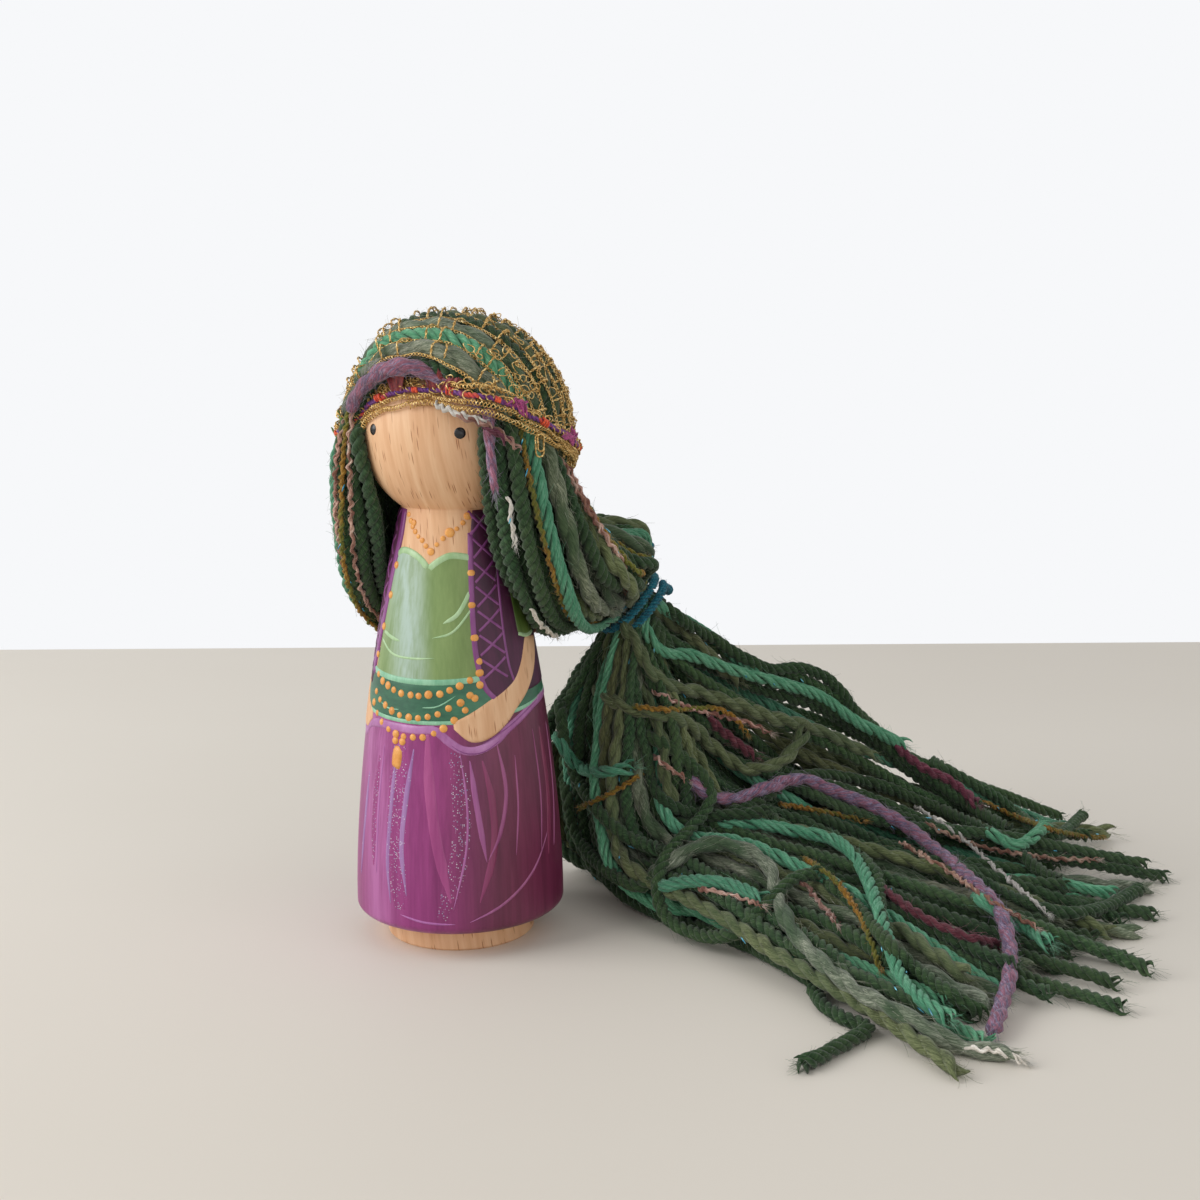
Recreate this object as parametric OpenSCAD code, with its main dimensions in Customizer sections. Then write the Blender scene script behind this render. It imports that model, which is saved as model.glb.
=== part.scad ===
// Peg doll: a turned beech peg with glued-on yarn hair, a gold net scarf and a tied tail.
// Millimetres. The origin is the centre of the foot on the table, +Z is up and the face looks along -Y.

/* [Peg] */
// Height of the middle of the head ball above the table
head_z = 97; // [92:0.5:102]
// Diameter of the head ball
head_d = 33.8; // [31:0.2:36]
// Diameter of the neck where the body runs into the head ball
neck_d = 19.6; // [17:0.2:22]
// Widest diameter of the turned body, just above the hem
skirt_d = 40; // [37:0.5:43]
// Height at which the body starts to draw in
skirt_z = 8; // [7.5:0.5:12]
// Power of the curve that draws the body in towards the neck
waist_power = 1.65; // [1.4:0.05:1.9]
// Width of the rounding under the hem
hem_roll_w = 4.6; // [3.5:0.1:5]
// Height of the rounding under the hem
hem_roll_h = 2.4; // [1.5:0.1:2.8]
// Diameter of the bare foot
foot_d = 28.4; // [24:0.2:29]
// Height of the bare foot
foot_h = 4.4; // [3.5:0.1:4.6]
// Chamfer turned on the edge of the foot
foot_chamfer = 0.4; // [0.2:0.1:0.8]

/* [Yarn] */
// Diameter of the plied yarn
yarn_d = 3; // [2.4:0.1:3.1]
// Diameter that the tie squeezes each strand down to
tied_yarn_d = 1.6; // [1.2:0.1:1.8]
// Thickness of the layer of yarn glued to the head under the rows
under_t = 2.7; // [2:0.1:3.4]
// Number of strands laid over the head from side to side
row_count = 14; // [10:1:14]
// Angle from the face, about the middle of the head, of the first row
first_row_angle = 36; // [33:1:40]
// Angle between rows over the top of the head
row_step_angle = 10.6; // [10:0.1:11]
// Angle round the hem at which the first row leaves the scarf
first_exit_angle = 44; // [40:1:50]
// Angle round the hem between the places where the rows leave it
exit_step_angle = 9.9; // [9.5:0.1:10.2]
// Extra angle of the middle exits, because the yarn bunches over the ears
exit_bulge_angle = 6; // [3:0.5:6]

/* [Scarf] */
// Tilt of the hem of the scarf, high on the brow and low at the nape
hem_tilt_angle = 32; // [28:0.5:35]
// Distance of the hem's plane from the middle of the head
hem_drop = 3.3; // [2.5:0.1:4]
// Thickness of the gold chain thread
thread_d = 0.6; // [0.4:0.05:0.7]
// Height of the chain rows over the middle of the yarn
net_lift = 0.9; // [0.8:0.05:1.2]
// Angle along a row between two pairs of rungs
pair_step_angle = 34; // [28:1:45]
// Distance between the two rungs of a pair
pair_gap = 2.4; // [1.8:0.1:3.4]
// Diameter of the coloured cord over the hem
cord_d = 1.3; // [1:0.1:1.6]
// Distance between the hem chains and the cord
trim_step = 1.7; // [1.5:0.1:2.2]
// Width of the little cloth tabs on the cord
tab_w = 3.6; // [2.5:0.1:4.5]
// Length of the little cloth tabs
tab_l = 3.4; // [2.5:0.1:4.5]
// Thickness of the little cloth tabs
tab_t = 0.5; // [0.3:0.1:0.8]
// Diameter of the knots on the cord
knot_d = 2; // [1.6:0.1:2.6]
// Length of the loop of gold thread that hangs from the hem
drop_loop_l = 5; // [3:0.5:7]

/* [Tail] */
// How far the tie is set to the doll's left
tie_x = 21; // [17:1:25]
// How far the tie lies behind the middle of the doll
tie_y = 38; // [34:1:42]
// Height of the tie above the table
tie_z = 60; // [54:1:66]
// Heading of the bundle through the tie, seen from above
tie_heading_angle = 32; // [20:1:40]
// Dip of the bundle through the tie
tie_dip_angle = 40; // [30:1:50]
// Diameter of the teal thread that ties the hair
tie_d = 1.8; // [1.4:0.1:2.2]
// Turns of the tie round the bundle
tie_turn_count = 3; // [2:1:4]
// Length of the tie's two loose ends
tie_end_l = 10; // [6:1:14]
// Length of the tail from the tie to the ends, seen from above
tail_l = 108; // [90:1:125]
// Heading of the nearest strand of the fanned tail
fan_from_angle = -42; // [-50:1:-30]
// Heading of the furthest strand of the fanned tail
fan_to_angle = 40; // [25:1:45]

/* [Hidden] */

green = 0;
mint = 1;
olive = 2;
grey = 3;
mauve = 4;
// The yarn of each row, from the brow to the nape
row_yarns = [mauve, grey, mint, grey, green, olive, green, green, grey, green, mint, green, olive, green];
yarn_colours = ["#2f4d2f", "#5fae86", "#6d7550", "#7c8a7a", "#8a6f93"];

head_r = head_d / 2;
neck_r = neck_d / 2;
skirt_r = skirt_d / 2;
foot_r = foot_d / 2;
yarn_r = yarn_d / 2;
thread_r = thread_d / 2;
neck_z = head_z - sqrt(head_r * head_r - neck_r * neck_r);
// Sphere on which the middles of the crown strands lie
crown_r = head_r + under_t + yarn_r;
clearance = 0.1;
overrun = 1;

profile_steps = 24;
roll_steps = 6;
tube_sides = 6;
side_rings = 16;
tail_rings = 16;
hem_rings = 48;
turn_rings = 20;
smooth = 96;
round_fn = 24;

// Vectors and angles

function lerp(a, b, share) = a + (b - a) * share;
function unit(v) = v / norm(v);
function flat(v) = [v[0], v[1], 0];
function heading(a) = [cos(a), sin(a), 0];
// Point of a Bezier curve with any number of control points
function bezier(p, t) =
    len(p) == 1 ? p[0] : bezier([for (i = [0 : len(p) - 2]) lerp(p[i], p[i + 1], t)], t);
// Smooth step from 0 to 1
function ease(t) = let (s = max(0, min(1, t))) s * s * (3 - 2 * s);

// Radius of the turned body at a height above the hem
function body_r(z) =
    let (share = max(0, (z - skirt_z) / (neck_z - skirt_z)))
    neck_r + (skirt_r - neck_r) * (1 - pow(share, waist_power));

// The hem: a circle about the middle of the head, tilted back; the angle is 0 at the brow.
// A rise goes from it up over the head.
hem_normal = [0, sin(hem_tilt_angle), cos(hem_tilt_angle)];
hem_front = [0, -cos(hem_tilt_angle), sin(hem_tilt_angle)];
function hem_point(angle, r, rise = 0) =
    let (level = rise - hem_drop)
    level * hem_normal + sqrt(r * r - level * level) * (cos(angle) * hem_front + [sin(angle), 0, 0]);

// A row over the head lies in the plane through its top point and its two exits at the hem
function row_top(k) = first_row_angle + row_step_angle * k;
function row_exit(k) = first_exit_angle + exit_step_angle * k + exit_bulge_angle * sin(180 * k / (row_count - 1));
function plane_tilt(top, exit, r) =
    let (d = hem_point(exit, r) - r * [0, -cos(top), sin(top)])
    atan2(-d[2], d[1]);
// [tilt, offset, radius, end angle] of the circle for a row
function row_circle(k, r) =
    let (
        top = row_top(k),
        exit = row_exit(k),
        tilt = plane_tilt(top, exit, r),
        normal = [0, sin(tilt), cos(tilt)],
        front = [0, -cos(tilt), sin(tilt)],
        offset = normal * (r * [0, -cos(top), sin(top)]),
        end = hem_point(exit, r) - normal * offset
    )
    [tilt, offset, sqrt(r * r - offset * offset), atan2(end[0], end * front)];
function row_point(k, r, angle) =
    let (c = row_circle(k, r))
    c[1] * [0, sin(c[0]), cos(c[0])]
    + c[2] * (cos(angle) * [0, -cos(c[0]), sin(c[0])] + [sin(angle), 0, 0])
    + [0, 0, head_z];

// The bundle in the tie: its axis, and a place in it for each strand
tie_at = [tie_x, tie_y, tie_z];
tie_axis = [cos(tie_heading_angle) * cos(tie_dip_angle), sin(tie_heading_angle) * cos(tie_dip_angle), -sin(tie_dip_angle)];
tie_side = [sin(tie_heading_angle), -cos(tie_heading_angle), 0];
tie_up = cross(tie_side, tie_axis);
// Rings of the bundle, in tied strands from its middle, and the ring of each strand in turn
ring_radii = [3.5 * tied_yarn_d, 2.45 * tied_yarn_d, 1.05 * tied_yarn_d];
ring_turns = [0, 1, 0, 1, 2];
bundle_r = ring_radii[0] + tied_yarn_d / 2;
slot_first_angle = -60;
slot_span_angle = 155;
slot_gap_angle = 20;
function slot_angle(k, side) =
    let (share = k / (row_count - 1))
    slot_first_angle + (side > 0 ? slot_span_angle * share : -slot_gap_angle - slot_span_angle * share);
function slot_ring(k) = ring_radii[ring_turns[k % len(ring_turns)]];
function slot_across(k, side) = slot_ring(k) * cos(slot_angle(k, side));
function slot_offset(k, side) =
    slot_across(k, side) * tie_side + slot_ring(k) * sin(slot_angle(k, side)) * tie_up;

// Side hair: each strand hangs from the hem and swings back into the tie.
// Drops, flares and pulls are shares of the yarn's diameter, for the front row and the back row.
left_drop_shares = [14.25, 5];
right_drop_shares = [16.5, 4.75];
left_flare_share = 2.3;
right_flare_share = 2.4;
middle_flare_share = 3.3;
back_lean_share = 2.6;
left_pull_shares = [[-1.5, -10, -2], [1, -0.75, 7.5]];
right_pull_shares = [[-17.25, -6.5, -0.75], [-5.5, -5, 1.75]];
left_puff_shares = [4, -0.5, 1.8];
right_puff_shares = [0.6, -0.6, 0.1];
// The strands come together a little way before the tie, in the order that they have in it
pull_share = 1.4;
mouth_step_share = 2;
mouth_share = 2.2;
function side_route(k, side) =
    let (
        share = k / (row_count - 1),
        bow = sin(180 * share),
        left = side > 0,
        drops = left ? left_drop_shares : right_drop_shares,
        pulls = left ? left_pull_shares : right_pull_shares,
        exit = row_point(k, crown_r, side * row_circle(k, crown_r)[3]),
        out = unit(flat(exit)),
        flare = (left ? left_flare_share : right_flare_share) + middle_flare_share * bow,
        belly = exit + yarn_d * (flare * out + [0, back_lean_share * share, -lerp(drops[0], drops[1], share)]),
        swing = lerp(pulls[0], pulls[1], share) + bow * (left ? left_puff_shares : right_puff_shares),
        pull = tie_at + yarn_d * swing + pull_share * slot_offset(k, side),
        mouth = tie_at - mouth_step_share * yarn_d * tie_axis + mouth_share * slot_offset(k, side),
        control = [exit, belly, pull, mouth, tie_at + slot_offset(k, side)]
    )
    [for (i = [0 : side_rings - 1]) bezier(control, i / (side_rings - 1))];
// The tie squeezes the last stretch
squeeze_share = 0.95;
function side_radius(i) =
    lerp(yarn_r, tied_yarn_d / 2, ease((i / (side_rings - 1) - 1 + squeeze_share) / squeeze_share));

// Tail: the strands leave the tie in the order that they lie across it and fan out on the table.
// How far each one reaches, as a share of the tail's length, from the near side to the far side.
reach_shares = [
    1.04, 0.97, 1.08, 1.0, 0.86, 1.05, 0.93, 1.02, 0.8, 0.98, 0.9, 1.04, 0.96, 0.84,
    1.0, 0.92, 1.06, 0.88, 0.99, 1.08, 0.9, 1.0, 0.83, 0.96, 1.03, 0.89, 1.01, 0.94
];
strands = [for (k = [0 : row_count - 1]) for (side = [1, -1]) [k, side]];
function across(s) = slot_across(s[0], s[1]);
// Place of a strand in the fan, counted from the near side
function fan_place(s) = len([for (o = strands) if (across(o) > across(s) || (across(o) == across(s) && o[1] > s[1])) 1]);
// The near strands drop straight to the table and the far ones come down slowly
near_fall_power = 7.1;
far_fall_power = 1;
fall_mix_power = 1.25;
// The near strands swing behind the doll first, and the far ones go on along the bundle.
// Shares of the tail's length, from the near side to the far side.
near_lead_angle = -110;
lead_shares = [0.16, 0.06];
bend_shares = [0.36, 0.53];
// Strands from the top and the sides of the bundle stay there for part of the way
stack_power = 3;
spread_share = 1.8;
spread_power = 2;
// Rings stand closer together near the tie, where the strands turn most
ring_power = 1.2;
// Loose wave of the strands on the table
wave_share = 0.013;
wave_angle = 400;
function tail_route(s) =
    let (
        place = fan_place(s),
        share = place / (len(strands) - 1),
        offset = slot_offset(s[0], s[1]),
        start = tie_at + offset,
        reach = tail_l * reach_shares[place],
        fall = lerp(near_fall_power, far_fall_power, pow(share, fall_mix_power)),
        fan = lerp(fan_from_angle, fan_to_angle, share),
        lead = tail_l * lerp(lead_shares[0], lead_shares[1], share),
        bend = reach * lerp(bend_shares[0], bend_shares[1], share),
        above = (slot_ring(s[0]) * sin(slot_angle(s[0], s[1])) + ring_radii[0]) * cos(tie_dip_angle),
        control = [
            flat(start),
            flat(start) + lead * heading(lerp(near_lead_angle, tie_heading_angle, share)),
            flat(tie_at) + bend * heading(fan),
            flat(tie_at) + reach * heading(fan)
        ]
    )
    [for (i = [0 : tail_rings - 1])
        let (
            t = pow(i / (tail_rings - 1), ring_power),
            swell = tail_radius(i) / tail_radius(0),
            stack = above * swell * (1 - pow(t, stack_power)),
            height = yarn_r + (start[2] - above - yarn_r) * pow(1 - t, fall) + stack,
            wave = wave_share * reach * t * sin(wave_angle * (t + share)),
            spread = spread_share * (swell - 1) * pow(1 - t, spread_power)
        )
        bezier(control, t) + wave * heading(fan + 90) + spread * flat(offset) + [0, 0, height]];
loosen_share = 0.7;
function tail_radius(i) = lerp(tied_yarn_d / 2, yarn_r, ease(i / (tail_rings - 1) / loosen_share));

// Tubes

// Direction of a route at one of its points
function route_dir(route, i) =
    unit(route[min(i + 1, len(route) - 1)] - route[max(i - 1, 0)]);
// A vector square to a direction, turned as little as possible from the last one
function square_to(v, dir) = unit(v - (v * dir) * dir);
function first_square(dir) = square_to(abs(dir[2]) < 0.9 ? [0, 0, 1] : [1, 0, 0], dir);

// A closed tube along a route, with a radius for each of its rings
module tube(route, radii, sides) {
    last = len(route) - 1;
    dirs = [for (i = [0 : last]) route_dir(route, i)];
    squares = [for (i = 0, v = first_square(dirs[0]); i <= last; i = i + 1,
        v = i <= last ? square_to(v, dirs[i]) : v) v];
    points = [for (i = [0 : last]) for (j = [0 : sides - 1])
        let (a = 360 * j / sides)
        route[i] + radii[i] * (cos(a) * squares[i] + sin(a) * cross(dirs[i], squares[i]))];
    walls = [for (i = [0 : last - 1]) for (j = [0 : sides - 1]) for (half = [0, 1])
        let (a = i * sides + j, b = i * sides + (j + 1) % sides)
        half == 0 ? [a, a + sides, b] : [b, a + sides, b + sides]];
    ends = [for (j = [1 : sides - 2]) for (end = [0, 1])
        end == 0 ? [0, j, j + 1] : [last * sides, last * sides + j + 1, last * sides + j]];
    polyhedron(points = points, faces = concat(walls, ends));
}

// A closed ring of tube along a loop of points
module ring_tube(loop, r, sides) {
    count = len(loop);
    points = [for (i = [0 : count - 1]) for (j = [0 : sides - 1])
        let (
            dir = unit(loop[(i + 1) % count] - loop[(i + count - 1) % count]),
            v = square_to(loop[i] - [0, 0, head_z], dir),
            a = 360 * j / sides
        )
        loop[i] + r * (cos(a) * v + sin(a) * cross(dir, v))];
    walls = [for (i = [0 : count - 1]) for (j = [0 : sides - 1]) for (half = [0, 1])
        let (
            next = (i + 1) % count,
            a = i * sides + j,
            b = i * sides + (j + 1) % sides,
            c = next * sides + j,
            d = next * sides + (j + 1) % sides
        )
        half == 0 ? [a, c, b] : [b, c, d]];
    polyhedron(points = points, faces = walls);
}

// Turns the row's own plane into place: x towards its top, y to the doll's left, z along its axis
module in_row_plane(k, r) {
    c = row_circle(k, r);
    translate([0, 0, head_z])
        rotate([-c[0], 0, 0])
            translate([0, 0, c[1]])
                rotate([0, 0, -90])
                    children();
}

// Part of a ring of round stock in a row's plane, from one angle to another
module row_arc(k, r, d, from, to) {
    c = row_circle(k, r);
    in_row_plane(k, r)
        rotate([0, 0, from])
            rotate_extrude(angle = to - from, $fn = smooth)
                translate([c[2], 0])
                    circle(d = d, $fn = round_fn);
}

// Peg

module peg() {
    hem_top = foot_h + hem_roll_h;
    roll = [for (i = [0 : roll_steps])
        let (a = 90 * i / roll_steps)
        [skirt_r - hem_roll_w * (1 - sin(a)), hem_top - hem_roll_h * cos(a)]];
    body = [for (i = [0 : profile_steps])
        let (z = lerp(skirt_z, neck_z, i / profile_steps))
        [body_r(z), z]];
    color("#d9ab7c") {
        rotate_extrude($fn = smooth)
            polygon(concat(
                [[0, 0], [foot_r - foot_chamfer, 0], [foot_r, foot_chamfer], [foot_r, foot_h]],
                roll, body, [[0, neck_z]]));
        translate([0, 0, head_z])
            sphere(d = head_d, $fn = smooth);
    }
}

// Layer of glued yarn between the head and the rows, cut off at the hem and behind the first strand
module under_layer() {
    outer = head_r + under_t - clearance;
    c = row_circle(0, crown_r);
    size = 2 * outer + overrun;
    color(yarn_colours[green])
        difference() {
            translate([0, 0, head_z])
                sphere(r = outer, $fn = smooth);
            translate([0, 0, head_z])
                sphere(r = head_r, $fn = smooth);
            translate([0, 0, head_z])
                rotate([-hem_tilt_angle, 0, 0])
                    translate([-size / 2, -size / 2, -size - hem_drop])
                        cube(size);
            translate([0, 0, head_z])
                rotate([-c[0], 0, 0])
                    translate([-size / 2, -size / 2, -size + c[1] + yarn_r])
                        cube(size);
        }
}

// Yarn over the crown, at the sides and in the tail, one colour at a time

module crown_yarn(yarn) {
    color(yarn_colours[yarn])
        for (k = [0 : row_count - 1])
            if (row_yarns[k] == yarn) {
                end = row_circle(k, crown_r)[3];
                row_arc(k, crown_r, yarn_d, -end, end);
            }
}

module side_yarn(yarn, side) {
    radii = [for (i = [0 : side_rings - 1]) side_radius(i)];
    color(yarn_colours[yarn])
        for (k = [0 : row_count - 1])
            if (row_yarns[k] == yarn)
                tube(side_route(k, side), radii, tube_sides);
}

module tail_yarn(yarn) {
    radii = [for (i = [0 : tail_rings - 1]) tail_radius(i)];
    color(yarn_colours[yarn])
        for (s = strands)
            if (row_yarns[s[0]] == yarn)
                tube(tail_route(s), radii, tube_sides);
}

module crown_green_yarn() { crown_yarn(green); }
module crown_mint_yarn() { crown_yarn(mint); }
module crown_olive_yarn() { crown_yarn(olive); }
module crown_grey_yarn() { crown_yarn(grey); }
module crown_mauve_yarn() { crown_yarn(mauve); }
module right_green_yarn() { side_yarn(green, -1); }
module right_mint_yarn() { side_yarn(mint, -1); }
module right_olive_yarn() { side_yarn(olive, -1); }
module right_grey_yarn() { side_yarn(grey, -1); }
module right_mauve_yarn() { side_yarn(mauve, -1); }
module left_green_yarn() { side_yarn(green, 1); }
module left_mint_yarn() { side_yarn(mint, 1); }
module left_olive_yarn() { side_yarn(olive, 1); }
module left_grey_yarn() { side_yarn(grey, 1); }
module left_mauve_yarn() { side_yarn(mauve, 1); }
module tail_green_yarn() { tail_yarn(green); }
module tail_mint_yarn() { tail_yarn(mint); }
module tail_olive_yarn() { tail_yarn(olive); }
module tail_grey_yarn() { tail_yarn(grey); }
module tail_mauve_yarn() { tail_yarn(mauve); }

// Tie: one thread wound round the bundle, with a loose end at each side
module hair_tie() {
    turn_r = bundle_r + tie_d / 2 + clearance;
    pitch = tie_d + thread_d;
    rings = tie_turn_count * turn_rings;
    wound = [for (i = [0 : rings])
        let (a = 360 * i / turn_rings, along = pitch * (i / turn_rings - tie_turn_count / 2))
        tie_at + along * tie_axis + turn_r * (cos(a) * tie_up - sin(a) * tie_side)];
    loose = [for (i = [1 : turn_rings / 4]) 4 * i * tie_end_l / turn_rings];
    start_dir = unit(tie_side + tie_up / 2 - tie_axis / 4);
    end_dir = unit(tie_axis / 2 - tie_side);
    route = concat(
        [for (i = [len(loose) - 1 : -1 : 0]) wound[0] + loose[i] * start_dir],
        wound,
        [for (l = loose) wound[rings] + l * end_dir]);
    color("#1f7f92")
        tube(route, [for (p = route) tie_d / 2], tube_sides);
}

// Scarf

net_r = crown_r + net_lift;
rung_r = yarn_r + thread_r + clearance / 2;
// Half of the angle that a rung takes round the strand it crosses
rung_half_angle = 50;
// Share of a row, from its top towards both ends, that has rungs
pairs_share = 1.3;

// Gold chain in the groove after each row, so between two rows of yarn
module net_rows() {
    color("#b58a3c")
        for (k = [0.5 : row_count - 1.5]) {
            end = row_circle(k, net_r)[3];
            row_arc(k, net_r, thread_d, -end, end);
        }
}

// Short threads in pairs over the strands, from one chain row to the next
module net_rungs() {
    color("#b58a3c")
        for (k = [1 : row_count - 2]) {
            c = row_circle(k, crown_r);
            pairs = floor(pairs_share * c[3] / pair_step_angle);
            gap_angle = asin(pair_gap / 2 / c[2]);
            for (i = [-pairs : 2 : pairs])
                for (turn = [-gap_angle, gap_angle])
                    in_row_plane(k, crown_r)
                        rotate([0, 0, i * pair_step_angle / 2 + turn])
                            translate([c[2], 0, 0])
                                rotate([90, 0, 0])
                                    rotate([0, 0, lean(c) - rung_half_angle])
                                        rotate_extrude(angle = 2 * rung_half_angle, $fn = smooth)
                                            translate([rung_r, 0])
                                                circle(d = thread_d, $fn = round_fn);
        }
}
// Angle from a row's plane to straight out from the middle of the head
function lean(c) = atan2(c[1], c[2]);

// Distance of the trim from the middle of the head: on the wood at the brow, over the yarn at the sides.
// It climbs between two shares of the angle at which the first row leaves the hem.
chain_climb_shares = [0.4, 0.76];
cord_climb_shares = [0.05, 0.42];
function trim_r(angle, r, climb) =
    let (share = min(angle, 360 - angle) / first_exit_angle)
    lerp(head_r + r + clearance, crown_r + yarn_r + r + clearance,
        ease((share - climb[0]) / (climb[1] - climb[0])));
function trim_loop(r, rise, climb) =
    [for (i = [0 : hem_rings - 1])
        let (a = 360 * i / hem_rings)
        hem_point(a, trim_r(a, r, climb), rise) + [0, 0, head_z]];

module hem_chains() {
    color("#b58a3c") {
        ring_tube(trim_loop(thread_r, 0, chain_climb_shares), thread_r, tube_sides);
        ring_tube(trim_loop(thread_r, thread_d + clearance, chain_climb_shares), thread_r, tube_sides);
    }
}

module hem_cord() {
    color("#6b3f8f")
        ring_tube(trim_loop(cord_d / 2, trim_step, cord_climb_shares), cord_d / 2, tube_sides);
}

// Angles round the hem from the brow, of the knots and the tabs
knot_angles = [-25, 17, 42, 70, -65, 112];
brow_tab_angles = [0, 27];
side_tab_angles = [54, 86, -56, -74];

module cord_knots() {
    color("#e2582f")
        for (a = knot_angles)
            translate(on_hem(a, cord_d + knot_d / 2, trim_step))
                sphere(d = knot_d, $fn = round_fn);
}

// A point over the cord, lifted outwards and upwards
function on_hem(angle, lift, rise) =
    let (a = (angle + 360) % 360)
    hem_point(a, trim_r(a, 0, cord_climb_shares) + lift, rise) + [0, 0, head_z];

// A flat scrap of cloth that stands up from the cord and leans out, the middle one over the first strand
tab_gap = 0.5;
brow_lean_angles = [70, 14];
side_lean_angle = 14;
module tab(angle, lean) {
    translate(on_hem(angle, cord_d + tab_t / 2 + tab_gap, trim_step))
        rotate([-hem_tilt_angle, 0, 0])
            rotate([0, 0, angle])
                rotate([lean, 0, 0])
                    translate([-tab_w / 2, -tab_t / 2, 0])
                        cube([tab_w, tab_t, tab_l]);
}

module brow_tabs() {
    color("#7c2c33")
        for (i = [0 : len(brow_tab_angles) - 1])
            tab(brow_tab_angles[i], brow_lean_angles[i]);
}

module side_tabs() {
    color("#a8457c")
        for (a = side_tab_angles)
            tab(a, side_lean_angle);
}

// Loop of loose gold thread that hangs from the hem in front of the side hair
drop_loop_angle = 90;
module drop_loop() {
    loop_r = drop_loop_l / 4;
    color("#b58a3c")
        translate(on_hem(drop_loop_angle, thread_d + thread_r + clearance, -loop_r - thread_r))
            rotate([0, 90, drop_loop_angle - 90])
                rotate_extrude($fn = smooth)
                    translate([loop_r, 0])
                        circle(d = thread_d, $fn = round_fn);
}

peg();
under_layer();
crown_green_yarn();
crown_mint_yarn();
crown_olive_yarn();
crown_grey_yarn();
crown_mauve_yarn();
right_green_yarn();
right_mint_yarn();
right_olive_yarn();
right_grey_yarn();
right_mauve_yarn();
left_green_yarn();
left_mint_yarn();
left_olive_yarn();
left_grey_yarn();
left_mauve_yarn();
tail_green_yarn();
tail_mint_yarn();
tail_olive_yarn();
tail_grey_yarn();
tail_mauve_yarn();
hair_tie();
net_rows();
net_rungs();
hem_chains();
hem_cord();
cord_knots();
brow_tabs();
side_tabs();
drop_loop();
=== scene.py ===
import math

import bpy
import numpy as np
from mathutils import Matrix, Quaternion, Vector, kdtree


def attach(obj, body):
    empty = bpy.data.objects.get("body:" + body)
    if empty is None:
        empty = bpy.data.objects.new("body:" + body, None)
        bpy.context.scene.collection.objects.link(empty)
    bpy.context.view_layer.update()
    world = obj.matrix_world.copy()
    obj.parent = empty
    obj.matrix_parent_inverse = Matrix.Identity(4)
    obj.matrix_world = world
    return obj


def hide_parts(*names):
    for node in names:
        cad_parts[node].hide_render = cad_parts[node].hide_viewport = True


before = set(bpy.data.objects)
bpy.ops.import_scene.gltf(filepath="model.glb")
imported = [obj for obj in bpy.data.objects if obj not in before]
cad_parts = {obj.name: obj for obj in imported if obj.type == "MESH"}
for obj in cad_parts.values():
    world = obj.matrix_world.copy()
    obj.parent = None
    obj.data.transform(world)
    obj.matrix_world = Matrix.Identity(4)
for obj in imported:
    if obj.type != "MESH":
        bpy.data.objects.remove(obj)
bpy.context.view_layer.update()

mm = 0.001
viewRight = np.array([0.896, 0.443, 0])   # the way to the right in the picture
print("frame loaded")


# Numbers and curves. Places are in millimetres until a mesh is made.

def srgb(r, g, b):
    def plain(c):
        c = c / 255
        return c / 12.92 if c <= 0.04045 else ((c + 0.055) / 1.055) ** 2.4
    return (plain(r), plain(g), plain(b), 1)


def ease(t):
    t = np.clip(t, 0, 1)
    return t * t * (3 - 2 * t)


def unit(v):
    v = np.asarray(v, float)
    return v / np.maximum(np.linalg.norm(v, axis=-1, keepdims=True), 1e-9)


def heading(angle):
    return np.array([math.cos(math.radians(angle)), math.sin(math.radians(angle)), 0.0])


def bezier(points, t):
    rows = [np.asarray(p, float)[None, :] * np.ones((len(t), 1)) for p in points]
    while len(rows) > 1:
        rows = [a + (b - a) * t[:, None] for a, b in zip(rows[:-1], rows[1:])]
    return rows[0]


# Smooth curve through given points, evenly spaced along its length
def throughPoints(points, count):
    p = np.asarray(points, float)
    p = np.vstack([2 * p[0] - p[1], p, 2 * p[-1] - p[-2]])
    t = np.linspace(0, len(p) - 3, (len(p) - 3) * 24 + 1)
    i = np.minimum(t.astype(int), len(p) - 4)
    f = (t - i)[:, None]
    a, b, c, d = p[i], p[i + 1], p[i + 2], p[i + 3]
    curve = 0.5 * (2 * b + (c - a) * f + (2 * a - 5 * b + 4 * c - d) * f * f
                   + (3 * b - a - 3 * c + d) * f * f * f)
    return evenly(curve, count)


def evenly(curve, count):
    steps = np.linalg.norm(np.diff(curve, axis=0), axis=1)
    run = np.concatenate([[0], np.cumsum(steps)])
    at = np.linspace(0, run[-1], count)
    return np.stack([np.interp(at, run, curve[:, k]) for k in range(curve.shape[1])], 1)


def lengthOf(curve):
    return float(np.linalg.norm(np.diff(curve, axis=0), axis=1).sum())


# Slow random drift along a strand, between -1 and 1
def drift(dice, count, knots):
    values = dice.uniform(-1, 1, knots + 3)
    t = np.linspace(0, knots - 1e-6, count)
    i = t.astype(int)
    f = t - i
    return values[i] * (1 - ease(f)) + values[i + 1] * ease(f)


# Meshes

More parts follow.
